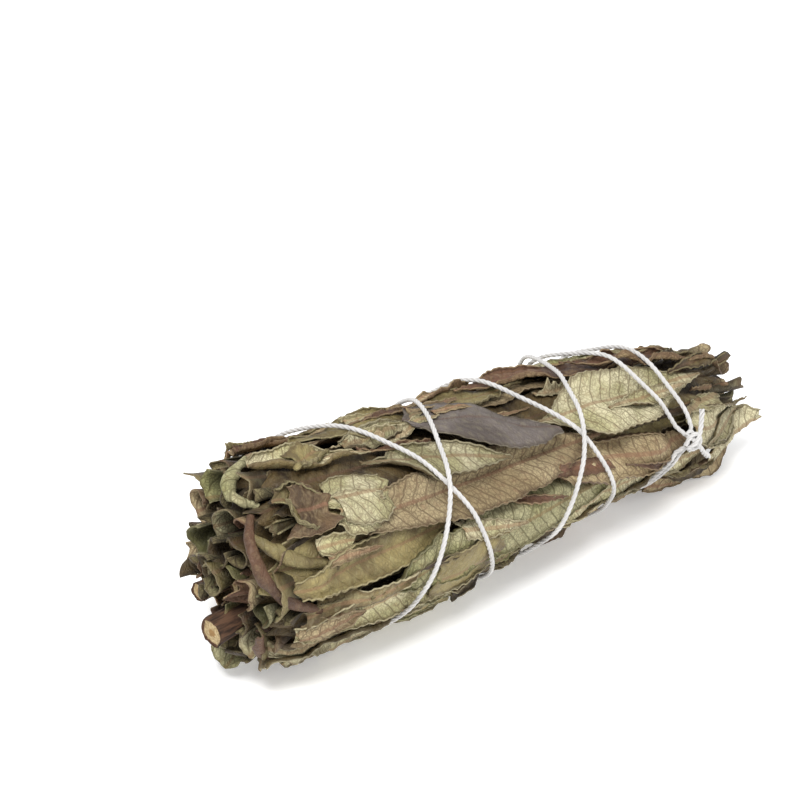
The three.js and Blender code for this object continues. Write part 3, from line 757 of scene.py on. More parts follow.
# How each wrapped leaf is finished.
WRAPPED = {
    "bottom_leaf_long": Leaf("pale", base="torn"),
    "bottom_leaf_tip": Leaf("tan", base="torn", rag=0.7),
    "bottom_leaf_front": Leaf("pale", base="torn", roll=(1.0, 1.4), splay=0.3),
    "bottom_leaf_tip_front": Leaf("tan", base="torn", rag=0.7),
    "back_leaf_low": Leaf("tan", base="torn", splay=0.3),
    "back_leaf_low_tip": Leaf("pale"),
    "back_leaf_middle": Leaf("pale", base="torn", roll=(1.6, 0.8), splay=0.4),
    "back_leaf_middle_tip": Leaf("olive", base="stalk"),
    "back_leaf_high": Leaf("pale", base="torn", roll=(0.8, 1.8)),
    "back_leaf_high_tip": Leaf("pale", roll=(1.5, 1.0)),
    "top_leaf_back": Leaf("tan", base="torn"),
    "top_leaf_back_tip": Leaf("pale"),
    "top_leaf_olive": Leaf("olive", base="torn"),
    "top_leaf_russet": Leaf("russet", tip="torn"),
    "front_leaf_olive": Leaf("olive", base="torn", roll=(1.8, 1.2), splay=0.5, crumple=0.6),
    "front_leaf_lowest": Leaf("pale", base="torn", roll=(1.0, 1.6)),
    "front_leaf_lower": Leaf("pale", base="torn", roll=(1.3, 1.3), splay=0.5),
    "front_leaf_low_tip": Leaf("pale", roll=(0.9, 1.5)),
    "front_leaf_net": Leaf("green", roll=(1.0, 1.0)),
    "front_leaf_middle": Leaf("tan", base="torn", roll=(1.6, 1.6), rib=1.2),
    "front_leaf_midrib": Leaf("tan", base="torn", roll=(0.9, 0.9), rib=1.5, rag=1.8),
    "butt_leaf_brown": Leaf("olive", base="torn", roll=(1.8, 1.8), splay=0.5),
    "butt_leaf_scrap": Leaf("pale", base="torn", tip="torn", roll=(0.5, 0.9), rag=2.0),
    "upper_leaf_pale": Leaf("pale", roll=(1.3, 1.2)),
    "upper_leaf_big": Leaf("pale", roll=(0.9, 0.9), rib=0.8),
    "upper_leaf_grey": Leaf("grey", base="torn", tip="torn", roll=(0.4, 0.4), rib=0.7, rag=1.6, widen=1.3),
    "butt_leaf_curled": Leaf("pale", base="torn", roll=(2.2, 1.4), splay=0.4),
    "top_leaf_rolled": Leaf("russet", roll=(2.6, 2.2), ruffle=0.4),
    "tip_leaf_front": Leaf("pale", base="torn", roll=(1.0, 1.2)),
    "tip_leaf_low": Leaf("tan", base="torn", roll=(1.0, 1.0)),
}


def add_leaf(name, made, finish, *nodes):
    """Put a leaf's points, grid shape and attributes into the scene as a finished piece."""
    points, shape, attributes = made
    piece = mesh_object(name, points, sheet_faces(*shape), attributes, leaf_finish(finish))
    finish_piece(piece, "leaf", *nodes)


def build_leaf(number, name, leaf):
    """One CAD leaf, made again as a real leaf and put in its place."""
    made = leaf_sheet(number, leaf_rows(name), leaf, bpy.context.scene.herb_leaves)
    add_leaf(f"{name}_dried", made, leaf.finish, name)


class HERB_OT_wrapped_leaves(bpy.types.Operator):
    """Make the leaves that wrap the bundle"""

    bl_idname = "herb.wrapped_leaves"
    bl_label = "Wrapped Leaves"

    def execute(self, context):
        """Rebuild each wrapped CAD leaf with its veins, teeth, rolled margins and crumples."""
        names = [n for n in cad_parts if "leaf" in n and not n.startswith(("inner", "heart"))]
        for number, name in enumerate(sorted(names)):
            if name.startswith("under"):
                # The dark core finish here is partly painted shade on the leaves under the wrapped ones.
                finish = ("core", "tan", "core", "olive")[number % 4]
                leaf = Leaf(
                    finish, base="torn", tip="torn", step=0.8, roll=(0.8, 0.8), splay=-0.1,
                    rag=2.4, ruffle=0.6,
                )
            else:
                leaf = WRAPPED[name]
            build_leaf(number, name, leaf)
        return {"FINISHED"}


class HERB_OT_inner_leaves(bpy.types.Operator):
    """Make the crumpled leaves inside the bundle"""

    bl_idname = "herb.inner_leaves"
    bl_label = "Inner Leaves"

    def execute(self, context):
        """Rebuild the leaves whose edges show only at the two ends."""
        names = [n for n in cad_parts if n.startswith(("inner", "heart"))]
        for number, name in enumerate(sorted(names)):
            # The dark core finish here is partly painted shade inside the bundle.
            finish = ("core", "olive", "russet")[number % 3]
            leaf = Leaf(
                finish, base="torn", tip="torn", step=0.8, roll=(0.6, 0.9), crumple=1.2, rag=2.6, ruffle=0.8
            )
            build_leaf(200 + number, name, leaf)
        return {"FINISHED"}


# ---- Strips of leaf caught under the twine, and curled bits at the cut end ----

# Spacing of a strip's rows, and how many strips are scattered round the bundle.
STRIP_STEP = 1.2
SCATTERED_STRIPS = 46


def strip_rows(tree, x, angle, length, width, slant, lift):
    """Rows, as a CAD leaf's, of a strip that lies on the leaves below it."""
    count = max(4, int(round(length / STRIP_STEP)))
    stations = x + np.linspace(0, length, count + 1)
    columns = np.linspace(-0.5, 0.5, 5)
    start = float(girth(x)) - 2
    angles = angle + np.degrees(((stations - x)[:, None] * slant + columns[None, :] * width) / start)
    radii = np.full(angles.shape, np.nan)
    for place in np.ndindex(*angles.shape):
        hit = ray_radius(tree, stations[place[0]], angles[place])
        if hit is not None:
            radii[place] = hit
    radii = np.where(np.isnan(radii), np.nanmedian(radii), radii)
    for _ in range(3):
        padded = np.pad(radii, ((1, 1), (1, 1)), mode="edge")
        near = padded[:-2, 1:-1] + padded[2:, 1:-1] + padded[1:-1, :-2] + padded[1:-1, 2:]
        radii = np.maximum(radii * 0.4 + near * 0.15, radii - 0.1)
    return stations, angles, radii + lift + 0.2, radii + lift - 0.2


# Strips that show at the front: station, angle, length, width and slant, then how each is finished.
FRONT_STRIPS = (
    (-31, -14, 17, 9.0, 0.02, Leaf("olive", base="torn", tip="torn", roll=(0.3, 0.3), rib=0.5)),
    (-15, 17, 17, 2.3, -0.24, Leaf("russet", roll=(0.8, 0.6))),
    (1, 21, 12, 3.0, -0.22, Leaf("russet", base="torn", tip="torn", roll=(0.7, 0.7))),
    (17, 8, 17, 2.4, -0.30, Leaf("russet", roll=(1.0, 0.8))),
    (18, 45, 22, 4.6, 0.00, Leaf("pale", roll=(1.2, 0.8))),
    (25, 24, 17, 3.0, 0.03, Leaf("core", roll=(1.2, 1.2))),
    (-25, 10, 16, 4.0, -0.20, Leaf("pale", base="torn", roll=(1.5, 0.8))),
    (-59, 50, 10, 9.0, -0.1, Leaf(
        "tan", netted=False, base="torn", tip="torn", roll=(0.4, 0.6), rag=1.6, splay=0.3
    )),
    (-54, 28, 7, 4.5, -0.1, Leaf("pale", base="torn", tip="torn", roll=(0.5, 0.5), rag=0.6, splay=0.3)),
    (-49, 48, 13, 11.0, -0.1, Leaf("pale", base="torn", tip="torn", roll=(0.8, 0.9), rag=1.4, splay=0.2)),
    (-52, 20, 11, 3.2, -0.1, Leaf("tan", base="torn", roll=(0.7, 0.9))),
    (-52, 76, 10, 7.0, 0.2, Leaf("olive", base="torn", tip="torn", roll=(1.8, 0.8), splay=0.7, rag=1.0)),
    (-62, -56, 26, 10.0, 0.20, Leaf("pale", base="torn", roll=(1.0, 1.2), splay=0.3, ruffle=0.4)),
    (-58, -22, 12, 7.0, 0.20, Leaf("tan", base="torn", roll=(0.9, 1.0), splay=0.4)),
    (-57, -11, 22, 4.2, 0.14, Leaf("pale", netted=False, base="torn", roll=(0.9, 0.9), splay=0.2)),
    (-43, -38, 26, 3.4, 0.10, Leaf("pale", roll=(1.2, 1.0))),
    (-6, -22, 24, 4.2, -0.10, Leaf("pale", roll=(1.4, 1.0))),
    (2, -40, 26, 3.2, 0.05, Leaf("tan", roll=(1.2, 0.8))),
    (36, 24, 20, 5.0, 0.00, Leaf("pale", roll=(1.0, 1.4), splay=0.5)),
    (40, -6, 19, 6.0, 0.05, Leaf("pale", roll=(1.2, 1.0), splay=0.6)),
    (46, -24, 18.4, 10.0, -0.08, Leaf("pale", base="torn", tip="torn", roll=(0.6, 0.8), splay=0.2, rag=0.8)),
    (38, 58, 20, 4.4, 0.05, Leaf("core", roll=(1.4, 1.4), splay=0.4)),
    (44, 40, 15, 4.0, -0.1, Leaf("tan", roll=(1.3, 1.3), splay=0.7)),
    (30, 84, 24, 3.2, 0.02, Leaf("russet", roll=(1.4, 1.2))),
    (-36, 74, 16, 4.0, -0.1, Leaf("russet", roll=(1.3, 1.0))),
)


def scattered_strips(count):
    """The rest of the strips, all round the bundle, the same in each run."""
    rng = np.random.default_rng(582)
    finishes = ("pale", "tan", "olive", "russet", "core", "green")
    strips = []
    while len(strips) < count:
        x, angle = rng.uniform(-60, 40), rng.uniform(-46, 226)
        length, width = rng.uniform(10, 26), rng.uniform(1.8, 4.8)
        finish = rng.choice(finishes, p=(0.38, 0.18, 0.12, 0.08, 0.16, 0.08))
        slant = rng.uniform(-0.16, 0.16)
        torn = rng.random() < 0.5
        near_knot = abs(angle - KNOT_ANGLE) < 30 and x < 41 and x + length > 28
        on_front_leaves = 12 < angle < 80 and x < 33 and x + length > -40
        if x + length > 56 or near_knot or on_front_leaves:
            continue
        rolls = rng.uniform(0.5, 1.0, 2) * min(1.6, width * 0.42)
        base = "torn" if torn else "stalk"
        leaf = Leaf(str(finish), base=base, roll=tuple(rolls), ruffle=0.35, splay=0.2, rag=0.1 * width)
        strips.append((x, angle, length, width, slant, leaf))
    return strips


class HERB_OT_strips(bpy.types.Operator):
    """Make the narrow strips and scraps that lie on the wrapped leaves"""

    bl_idname = "herb.strips"
    bl_label = "Strips"

    def execute(self, context):
        """Drape each strip on the CAD leaves below it."""
        tree = surface_above()
        strips = [*scattered_strips(SCATTERED_STRIPS), *FRONT_STRIPS]
        for number, (x, angle, length, width, slant, leaf) in enumerate(strips):
            rows = strip_rows(tree, x, angle, length, width, slant, 0.28 + 0.1 * (number % 3))
            made = leaf_sheet(300 + number, rows, leaf, context.scene.herb_leaves)
            add_leaf(f"leaf_strip_{number + 1}", made, leaf.finish)
        return {"FINISHED"}


# Sprigs whose cut faces stand out past the leaves round them.
PROUD_SPRIGS = (1, 5)
# Curls lean towards the axis by this much for each millimetre inwards and off the axis.
CURL_LEAN = 0.014
# A curled piece's pattern starts this far from a rib, so that no rib runs down its middle.
NO_RIB = 3.0
# Rings of curls: heading into the bundle from its cut end (1) or its tip (-1), distance from the
# axis, number, and the least and greatest radius of a curl.
CURL_RINGS = (
    (1, 2.6, 4, (1.1, 2.7)),
    (1, 6.2, 6, (1.4, 2.9)),
    (1, 9.6, 8, (1.4, 3.0)),
    (1, 12.4, 8, (1.4, 2.8)),
    (1, 13.6, 9, (2.8, 3.9)),
    (1, 15.6, 9, (0.9, 1.7)),
    (1, 16.6, 5, (0.8, 1.3)),
    (-1, 1.5, 2, (0.8, 1.8)),
    (-1, 4.4, 6, (0.8, 1.8)),
    (-1, 7.4, 10, (0.8, 1.8)),
)


def curl_sheet(number, centre, front, heading, length, radius, span, side, thickness):
    """A bit of leaf curled up along its length: points, grid shape and attributes."""
    rng = np.random.default_rng(4000 + number)
    phase = rng.uniform(0, 2 * math.pi)
    rows, columns = max(6, int(length / 0.7)), max(10, int(radius * span / 0.45))
    s = np.linspace(0, length, rows)[:, None]
    t = np.linspace(0, 1, columns)[None, :]
    rag = lattice_noise(t * 4 + 20, 0 * t + number, 41)
    rag = rag + 0.3 * lattice_noise(t * 13 + 20, 0 * t + number, 42)
    wobble = lattice_noise(s / 4 + 30 + 0 * t, t * span * 1.2 + 60, 5000 + number)
    flare = 1 + 0.35 * np.exp(-s / 2.2)
    angle = phase + span * t + 0.25 * lattice_noise(s / 5 + 10, 0 * s + 3, 6000 + number)
    reach = radius * (1 - 0.38 * t) * flare + 0.32 * wobble
    inwards = np.array([OFFSET[1], float(axis_height(-60.0))]) - centre
    drift = rng.uniform(-0.08, 0.08, 2) + CURL_LEAN * inwards
    x = front + heading * (s + 0.9 * rag * np.exp(-s / 4)) + OFFSET[0]
    y = centre[0] + drift[0] * s + reach * np.cos(angle)
    z = centre[1] + drift[1] * s + reach * np.sin(angle)
    sheet = np.stack([x + 0 * t, y, z], axis=-1)
    across = (t - 0.5) * radius * span + NO_RIB
    margin = np.minimum(np.minimum(t, 1 - t) * radius * span, s + 0.3)
    # Painted shade: on top of a random tone, the colour darkens with depth between the curls, where they
    # shade each other.
    shade = rng.uniform(0.1, 1.0) - 2.4 * (1 - np.exp(-s / 3.5))
    return two_faced(sheet, thickness, s, across, number * 7.3, side, margin, shade)


def sprig_ends():
    """Where each sprig's cut face lies: y, z, radius, and how much of it and of a curl stays clear."""
    ends = []
    for number in range(1, 8):
        clear = (1.0, 0.25) if number in PROUD_SPRIGS else (0.45, 0.0)
        ring = cut_ring(f"stem_{number}")
        centre = ring.mean(axis=0)
        ends.append((centre[1], centre[2], np.linalg.norm(ring - centre, axis=1).mean(), *clear))
    return ends


# Leaves rolled along their length at the cut end: finish, whether the felt shows, flat width, and
# the route as (station, angle, radius) points.
ROLLED_LEAVES = (
    ("russet", 0, 3.4, (
        (-60.5, 62, 14.8), (-63.6, 44, 15.2), (-63.8, 24, 15.8), (-61.0, 6, 16.8), (-54.0, -10, 16.6),
    )),
    ("olive", 0, 3.8, ((-62.5, 50, 14.6), (-60.4, 36, 16.2), (-57.0, 25, 17.3), (-50.6, 15, 17.4))),
    ("core", 0, 3.6, ((-63.4, -78, 13.6), (-60.4, -68, 15.0), (-54.0, -56, 16.6), (-47.0, -46, 17.4))),
    ("russet", 0, 3.2, ((-64.0, -22, 14.2), (-63.0, -38, 15.0), (-60.0, -50, 16.0), (-54.0, -54, 16.4))),
    ("green", 1, 3.6, ((-58.0, 66, 14.6), (-60.5, 80, 15.2), (-58.5, 94, 16.0), (-53.0, 102, 17.0))),
)


def rolled_leaf(number, netted, width, route, thickness):
    """A leaf rolled into a gutter, hollow side in, that follows a route round the cut end."""
    stations, angles, radii = (np.array(v, float) for v in zip(*route))
    corners = to_space(stations, angles, radii)
    rows, columns = 46, 15
    line = along_rows(corners, np.linspace(0, len(corners) - 1, rows))
    ahead = np.gradient(line, axis=0)
    ahead /= np.linalg.norm(ahead, axis=1, keepdims=True)
    out = line - np.array([0, OFFSET[1], 0])
    out[:, 0] = 0
    out[:, 2] -= axis_height(line[:, 0] - OFFSET[0])
    out -= (out * ahead).sum(axis=1, keepdims=True) * ahead
    out /= np.linalg.norm(out, axis=1, keepdims=True)
    beside = np.cross(ahead, out)
    u, v = np.linspace(0, 1, rows)[:, None], np.linspace(-1, 1, columns)[None, :]
    taper = 0.2 + 0.8 * np.sin(np.pi * (0.06 + 0.88 * u)) ** 0.7
    bow = 1.7 + 0.7 * lattice_noise(u * 5 + 12, 0 * u + number, 55)
    curve = width * taper / (2 * bow)
    turn = v * bow
    uneven = 1 + 0.3 * lattice_noise(u * 11 + 9, v * 2 + 20, 56 + number)
    across, height = curve * np.sin(turn) * uneven, curve * (np.cos(turn) - 1) * uneven + 0.5
    sheet = line[:, None] + beside[:, None] * across[..., None] + out[:, None] * height[..., None]
    run = np.concatenate([[0], np.cumsum(np.linalg.norm(np.diff(line, axis=0), axis=1))])
    half = width * taper / 2
    margin = (1 - np.abs(v)) * half
    return two_faced(
        sheet, thickness, run[:, None], v * half + NO_RIB, number * 5.1, 1.0 - netted, margin, 0.1
    )


class HERB_OT_rolled(bpy.types.Operator):
    """Make the leaves rolled tight at the cut end"""

    bl_idname = "herb.rolled"
    bl_label = "Rolled Leaves"

    def execute(self, context):
        """Sweep each rolled leaf along its route."""
        thickness = context.scene.herb_leaves.thickness
        for number, (finish, netted, width, route) in enumerate(ROLLED_LEAVES):
            made = rolled_leaf(number, netted, width, route, thickness)
            add_leaf(f"rolled_leaf_{number + 1}", made, finish)
        return {"FINISHED"}


class HERB_OT_curls(bpy.types.Operator):
    """Make the curled bits of leaf packed into the two ends"""

    bl_idname = "herb.curls"
    bl_label = "End Curls"

    def execute(self, context):
        """Pack curled bits between the sprigs, ring by ring, and some inside the tip."""
        rng = np.random.default_rng(47)
        ends = sprig_ends()
        sizes = context.scene.herb_leaves
        # Most small curls take the dark core finish, which is partly painted shade between them.
        finishes = (
            "core", "olive", "core", "pale", "core", "tan", "core", "green", "russet", "core", "tan"
        )
        large = ("pale", "green", "olive", "tan")
        number = 0
        for heading, reach, count, radii in CURL_RINGS:
            middle_z = float(axis_height(-64.0 if heading > 0 else 55.0))
            for k in range(count):
                turn = (k + rng.uniform(-0.35, 0.35)) * 2 * math.pi / count
                y, z = OFFSET[1] - reach * math.cos(turn), middle_z + reach * math.sin(turn)
                radius = rng.uniform(*radii)
                if heading > 0:
                    if any(
                        math.hypot(y - at_y, z - at_z) < clear * wide + spare * radius
                        for at_y, at_z, wide, clear, spare in ends
                    ):
                        continue
                    slant = sizes.cut_slant / MM * (reach / 18) ** 1.2 * backness(math.degrees(turn))
                    front = -66.3 + 0.014 * reach**2 + slant + rng.uniform(-0.6, 1.6)
                else:
                    front = 60.5 - 0.04 * reach**2 + rng.uniform(-2.0, 1.5)
                length = rng.uniform(10, 15)
                span = rng.uniform(2.0, 3.4) if radius > 2.8 else rng.uniform(2.4, 5.6)
                number += 1
                side = float(radius > 2.8 or rng.random() < 0.5)
                place = (y, z), front, heading
                made = curl_sheet(number, *place, length, radius, span, side, sizes.thickness)
                kinds = large if radius > 2.8 else finishes
                add_leaf(f"end_curl_{number}", made, kinds[number % len(kinds)])
        return {"FINISHED"}


# ---- Sprigs ----

SPRIG_SIDES = 36
# How far the other sprigs are cut back from the proud ones.
SPRIG_SUNK = 1.5
# Near the cut the rows lie this close, over this length.
SPRIG_FINE, SPRIG_FINE_LENGTH = 0.35, 9.0
# Radii of the cut face's rings, as shares of the sprig's, from its rim inwards.
SPRIG_FACE = (0.97, 0.9, 0.72, 0.5, 0.3)


def sprig(name, number):
    """A woody sprig with furrowed bark and a slightly sloping, rough cut."""
    points = node_points(name)
    rows = [points[group] for group in rows_along(points[:, 0])]
    centres = np.array([row.mean(axis=0) for row in rows])
    radii = np.array([np.linalg.norm(r - c, axis=1).mean() for r, c in zip(rows, centres)])
    start, end = centres[0][0] + (0.0 if number in PROUD_SPRIGS else SPRIG_SUNK), centres[-1][0]
    fine = np.arange(start, start + SPRIG_FINE_LENGTH, SPRIG_FINE)
    stations = np.concatenate([fine, np.linspace(start + SPRIG_FINE_LENGTH, end, 26)])
    at = np.interp(stations, centres[:, 0], np.arange(len(centres)))
    middle, radius = along_rows(centres, at), along_rows(radii, at)
    turn = np.linspace(0, 2 * np.pi, SPRIG_SIDES, endpoint=False)
    seed = 70 + number * 7
    rings = []
    for i in range(len(stations)):
        grooves = lattice_noise(turn * SPRIG_SIDES / 9, np.full(SPRIG_SIDES, stations[i] / 5 + 50), seed)
        lumps = lattice_noise(np.cos(turn) * 1.3 + 9, np.sin(turn) * 1.3 + stations[i] / 4 + 50, seed + 1)
        r = radius[i] * (1 + 0.10 * lumps) + 0.22 * grooves - 0.10
        along, side, up = middle[i]
        ring = [np.full(SPRIG_SIDES, along), side - r * np.cos(turn), up + r * np.sin(turn)]
        rings.append(np.stack(ring, axis=1))
    slope = 0.18 * radius[0] * np.cos(turn + number)
    rings[0][:, 0] += slope * 0.5 + abs(slope).max() * 0.5
    face = [rings[0] * s + middle[0] * (1 - s) for s in SPRIG_FACE]
    for k, ring in enumerate(face):
        rough = lattice_noise(turn * 3 + k * 5, np.full(SPRIG_SIDES, k * 1.7 + 40), seed + 2)
        ring[:, 0] += 0.10 * rough + (0.15 if k else 0.0) - 0.2 * (k == 0)
    loops = [*reversed(face), *rings]
    far = rings[-1] * 0.3 + middle[-1] * 0.7
    loops.append(far)
    all_points = np.concatenate([*loops, [loops[0].mean(axis=0)], [far.mean(axis=0)]])
    faces = []
    n = SPRIG_SIDES
    for i in range(len(loops) - 1):
        for k in range(n):
            m = (k + 1) % n
            faces.append((i * n + k, (i + 1) * n + k, (i + 1) * n + m, i * n + m))
    first, last = len(loops) * n, len(loops) * n + 1
    for k in range(n):
        m = (k + 1) % n
        faces.append((first, k, m))
        faces.append((last, (len(loops) - 1) * n + m, (len(loops) - 1) * n + k))
    shares = [*reversed(SPRIG_FACE)] + [1.0] * (len(rings) + 1)
    cut = [1.0] * len(SPRIG_FACE) + [0.0] * (len(rings) + 1)
    place = np.concatenate([
        np.stack([np.repeat(range(len(loops)), n), np.repeat(shares, n), np.repeat(cut, n)], axis=1),
        [[0, 0, 1], [0, 0, 0]],
    ])
    return all_points, faces, {"sprig_mm": place}


class HERB_OT_sprigs(bpy.types.Operator):
    """Make the woody sprigs"""

    bl_idname = "herb.sprigs"
    bl_label = "Sprigs"

    def execute(self, context):
        """Rebuild each CAD sprig with bark and a cut face."""
        material = bark_material()
        for number in range(1, 8):
            name = f"stem_{number}"
            points, faces, attributes = sprig(name, number)
            piece = mesh_object(f"{name}_bark", points, faces, attributes, material)
            finish_piece(piece, "stem", name)
        return {"FINISHED"}


# ---- Twine ----


def twine_radii(turned, tree):
    """Distance from the axis to the twine's middle at each degree of winding."""
    radii = np.full(len(turned), np.nan)
    for i, t in enumerate(turned):
        x, angle = float(twine_x(t)), KNOT_ANGLE + t
        reach = math.hypot((math.remainder(angle - KNOT_ANGLE, 360)) * 0.28, x - KNOT_X)
        if reach < 5.0:
            continue
        outer, inner = (ray_radius(tree, x, angle, side) for side in (True, False))
        if outer is None or inner is None:
            continue
        outer, inner = outer - 0.47, inner + 0.47
        others = [t + 360 * k for k in range(-6, 7) if k and -RING_TURN < t + 360 * k < WINDING]
        close = [o for o in others if abs(float(twine_x(o)) - x) < 1.6]
        over = not close or t > min(close)
        radii[i] = outer if over else inner
    known = ~np.isnan(radii)
    radii = np.interp(turned, turned[known], radii[known])
    weights = np.exp(-((np.arange(-6, 7) / 3.0) ** 2))
    padded = np.pad(radii, 6, mode="edge")
    return np.convolve(padded, weights / weights.sum(), mode="valid")


def twine_strands():
    """The twine's middle lines in millimetres, with the plies' spread at each point."""
    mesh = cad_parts["binding_twine"].data
    corners = [tuple(v.co * 1000) for v in mesh.vertices]
    tree = BVHTree.FromPolygons(corners, [tuple(p.vertices) for p in mesh.polygons])
    strands = []
    sink = 0.26
    ends = []
    for low, high in ((-RING_TURN + 8, -10.0), (10.0, WINDING - 8)):
        turned = np.arange(low, high, 2.0)
        radii = twine_radii(turned, tree) - sink
        ends += [radii[0], radii[-1]]
        strands.append(to_space(twine_x(turned), KNOT_ANGLE + turned, radii))
    knot_r = max(ends) + 0.25

    def local(dx, up, out):
        angle = KNOT_ANGLE + math.degrees(up / knot_r)
        return to_space(np.array(KNOT_X + dx), np.array(angle), np.array(knot_r + out))

    joined = [np.concatenate([[local(-0.5, 0.6, 0)], s, [local(-0.5, -0.6, 0)]]) for s in strands]
    # The loops of the knot and its tails: along the bundle, up and outwards from the knot's middle.
    wrap = [
        (-1.7, -0.5, 0.1), (-1.1, 1.0, 0.7), (0.2, 1.5, 1.1), (1.1, 0.4, 1.2), (0.9, -1.0, 0.9),
        (-0.3, -1.5, 0.6), (-1.4, -0.9, 0.1),
    ]
    bight = [(-0.9, -1.9, 0.1), (-0.2, -0.6, 0.6), (0.3, 0.9, 0.5), (-0.3, 1.9, 0.2), (-1.2, 1.4, -0.1)]
    up_tail = [(-1.2, -1.2, 0.2), (-0.2, -0.2, 1.2), (1.0, 1.5, 1.3), (2.2, 3.3, 0.9), (3.2, 5.2, 0.7)]
    down_tail = [(-1.2, 1.2, 0.2), (-0.1, 0.2, 0.8), (1.4, -1.4, 0.9), (3.0, -3.2, 0.6), (4.8, -4.6, 0.4)]
    lines = [(line, np.ones(len(line))) for line in joined]
    for tie, flares in ((wrap, False), (bight, False), (up_tail, True), (down_tail, True)):
        line = np.array([local(*p) for p in tie])
        line = along_rows(line, np.linspace(0, len(line) - 1, 40))
        spread = 1.08 + (0.75 * np.linspace(0, 1, 40) ** 3 if flares else 0)
        lines.append((line, spread * np.ones(40)))
    return lines


def group_socket(tree, name, value):
    """Give a node group a number as an input, and say what the modifier calls it."""
    socket = tree.interface.new_socket(name, in_out="INPUT", socket_type="NodeSocketFloat")
    socket.default_value = value
    return socket.identifier


def plied_twine_tree(material):
    """Geometry Nodes: three plies laid round each middle line."""
    tree = bpy.data.node_groups.new("plied_twine", "GeometryNodeTree")
    tree.interface.new_socket("Geometry", in_out="INPUT", socket_type="NodeSocketGeometry")
    keys = {
        "ply": group_socket(tree, "Ply radius", 0.00027),
        "lay": group_socket(tree, "Lay radius", 0.00026),
        "pitch": group_socket(tree, "Pitch", 0.0034),
        "step": group_socket(tree, "Step", 0.0004),
    }
    tree.interface.new_socket("Geometry", in_out="OUTPUT", socket_type="NodeSocketGeometry")
    node = partial(add_node, tree)
    given = node("NodeGroupInput").outputs
    line = node("GeometryNodeMeshToCurve", None, given["Geometry"]).outputs[0]
    line = node("GeometryNodeResampleCurve", {"mode": "LENGTH"}, Curve=line, Length=given["Step"]).outputs[0]
    spread = node("GeometryNodeInputNamedAttribute", {"data_type": "FLOAT"}, Name="spread").outputs[0]
    normal = node("GeometryNodeInputNormal").outputs[0]
    tangent = node("GeometryNodeInputTangent").outputs[0]
    side = node(VECTOR, "CROSS_PRODUCT", tangent, normal)
    run = node("GeometryNodeSplineParameter").outputs["Length"]
    turn = node(MATH, "MULTIPLY", node(MATH, "DIVIDE", run, given["Pitch"]), 2 * math.pi)
    lay = node(MATH, "MULTIPLY", given["Lay radius"], spread)
    section = node("GeometryNodeCurvePrimitiveCircle", Resolution=7, Radius=given["Ply radius"]).outputs[0]
    join = node("GeometryNodeJoinGeometry")
    for ply in range(3):
        phase = node(MATH, "ADD", turn, ply * 2 * math.pi / 3)
        a = node(MATH, "MULTIPLY", lay, node(MATH, "COSINE", phase))
        b = node(MATH, "MULTIPLY", lay, node(MATH, "SINE", phase))
        first = node(VECTOR, "SCALE", normal, a)
        second = node(VECTOR, "SCALE", side, b)
        offset = node(VECTOR, "ADD", first, second)
        moved = node("GeometryNodeSetPosition", Geometry=line, Offset=offset).outputs[0]
        rope = node("GeometryNodeCurveToMesh", Curve=moved, Profile_Curve=section, Fill_Caps=True).outputs[0]
        tree.links.new(rope, join.inputs[0])
    whole = node("GeometryNodeRealizeInstances", None, join.outputs[0]).outputs[0]
    whole = node("GeometryNodeSetShadeSmooth", None, whole).outputs[0]
    whole = node("GeometryNodeSetMaterial", Geometry=whole, Material=material).outputs[0]
    out = tree.nodes.new("NodeGroupOutput")
    tree.links.new(whole, out.inputs[0])
    return tree, keys


def applied(piece):
    """The piece's evaluated result as a plain mesh object, in place of the piece."""
    evaluated = piece.evaluated_get(bpy.context.evaluated_depsgraph_get())
    mesh = bpy.data.meshes.new_from_object(evaluated)
    piece.modifiers.clear()
    old = piece.data
    piece.data = mesh
    bpy.data.meshes.remove(old)
    return piece


class HERB_OT_twine(bpy.types.Operator):
    """Make the plied twine and its knot"""

    bl_idname = "herb.twine"
    bl_label = "Twine"

    def execute(self, context):
        """Lay three plies along the CAD twine's course, and tie them at the front."""
        sizes = context.scene.herb_twine
        points, edges, spreads = [], [], []
        for line, spread in twine_strands():
            edges += [(len(points) + i, len(points) + i + 1) for i in range(len(line) - 1)]
            points += (line * MM).tolist()
            spreads += spread.tolist()
        mesh = bpy.data.meshes.new("binding_twine_plied")
        mesh.from_pydata(points, edges, [])
        mesh.attributes.new("spread", "FLOAT", "POINT").data.foreach_set("value", spreads)
        piece = bpy.data.objects.new("binding_twine_plied", mesh)
        context.scene.collection.objects.link(piece)
        tree, keys = plied_twine_tree(cotton_material(tuple(sizes.colour)))
        modifier = piece.modifiers.new("Plied twine", "NODES")
        modifier.node_group = tree
        modifier[keys["ply"]] = sizes.ply_radius
        modifier[keys["lay"]] = sizes.lay_radius
        modifier[keys["pitch"]] = sizes.pitch
        piece = applied(piece)
        finish_piece(piece, "twine", "binding_twine")
        return {"FINISHED"}


# ---- Stage ----

# The camera's place and the point that it looks at, in the bundle's own measure.
CAMERA_AT = (-266.05, -276.05, 234.73)
CAMERA_LOOKS_AT = (-4.2, 21.24, 24.85)
CAMERA_LENS = 110.6
# The point that both lamps face, in metres.
LAMPS_LOOK_AT = (0, 0, 0.02)


def place_and_aim(piece, place, target):
    """Put a lamp or a camera in its place, facing the target."""
    piece.location = place
    piece.rotation_euler = (target - place).to_track_quat("-Z", "Y").to_euler()
    bpy.context.scene.collection.objects.link(piece)


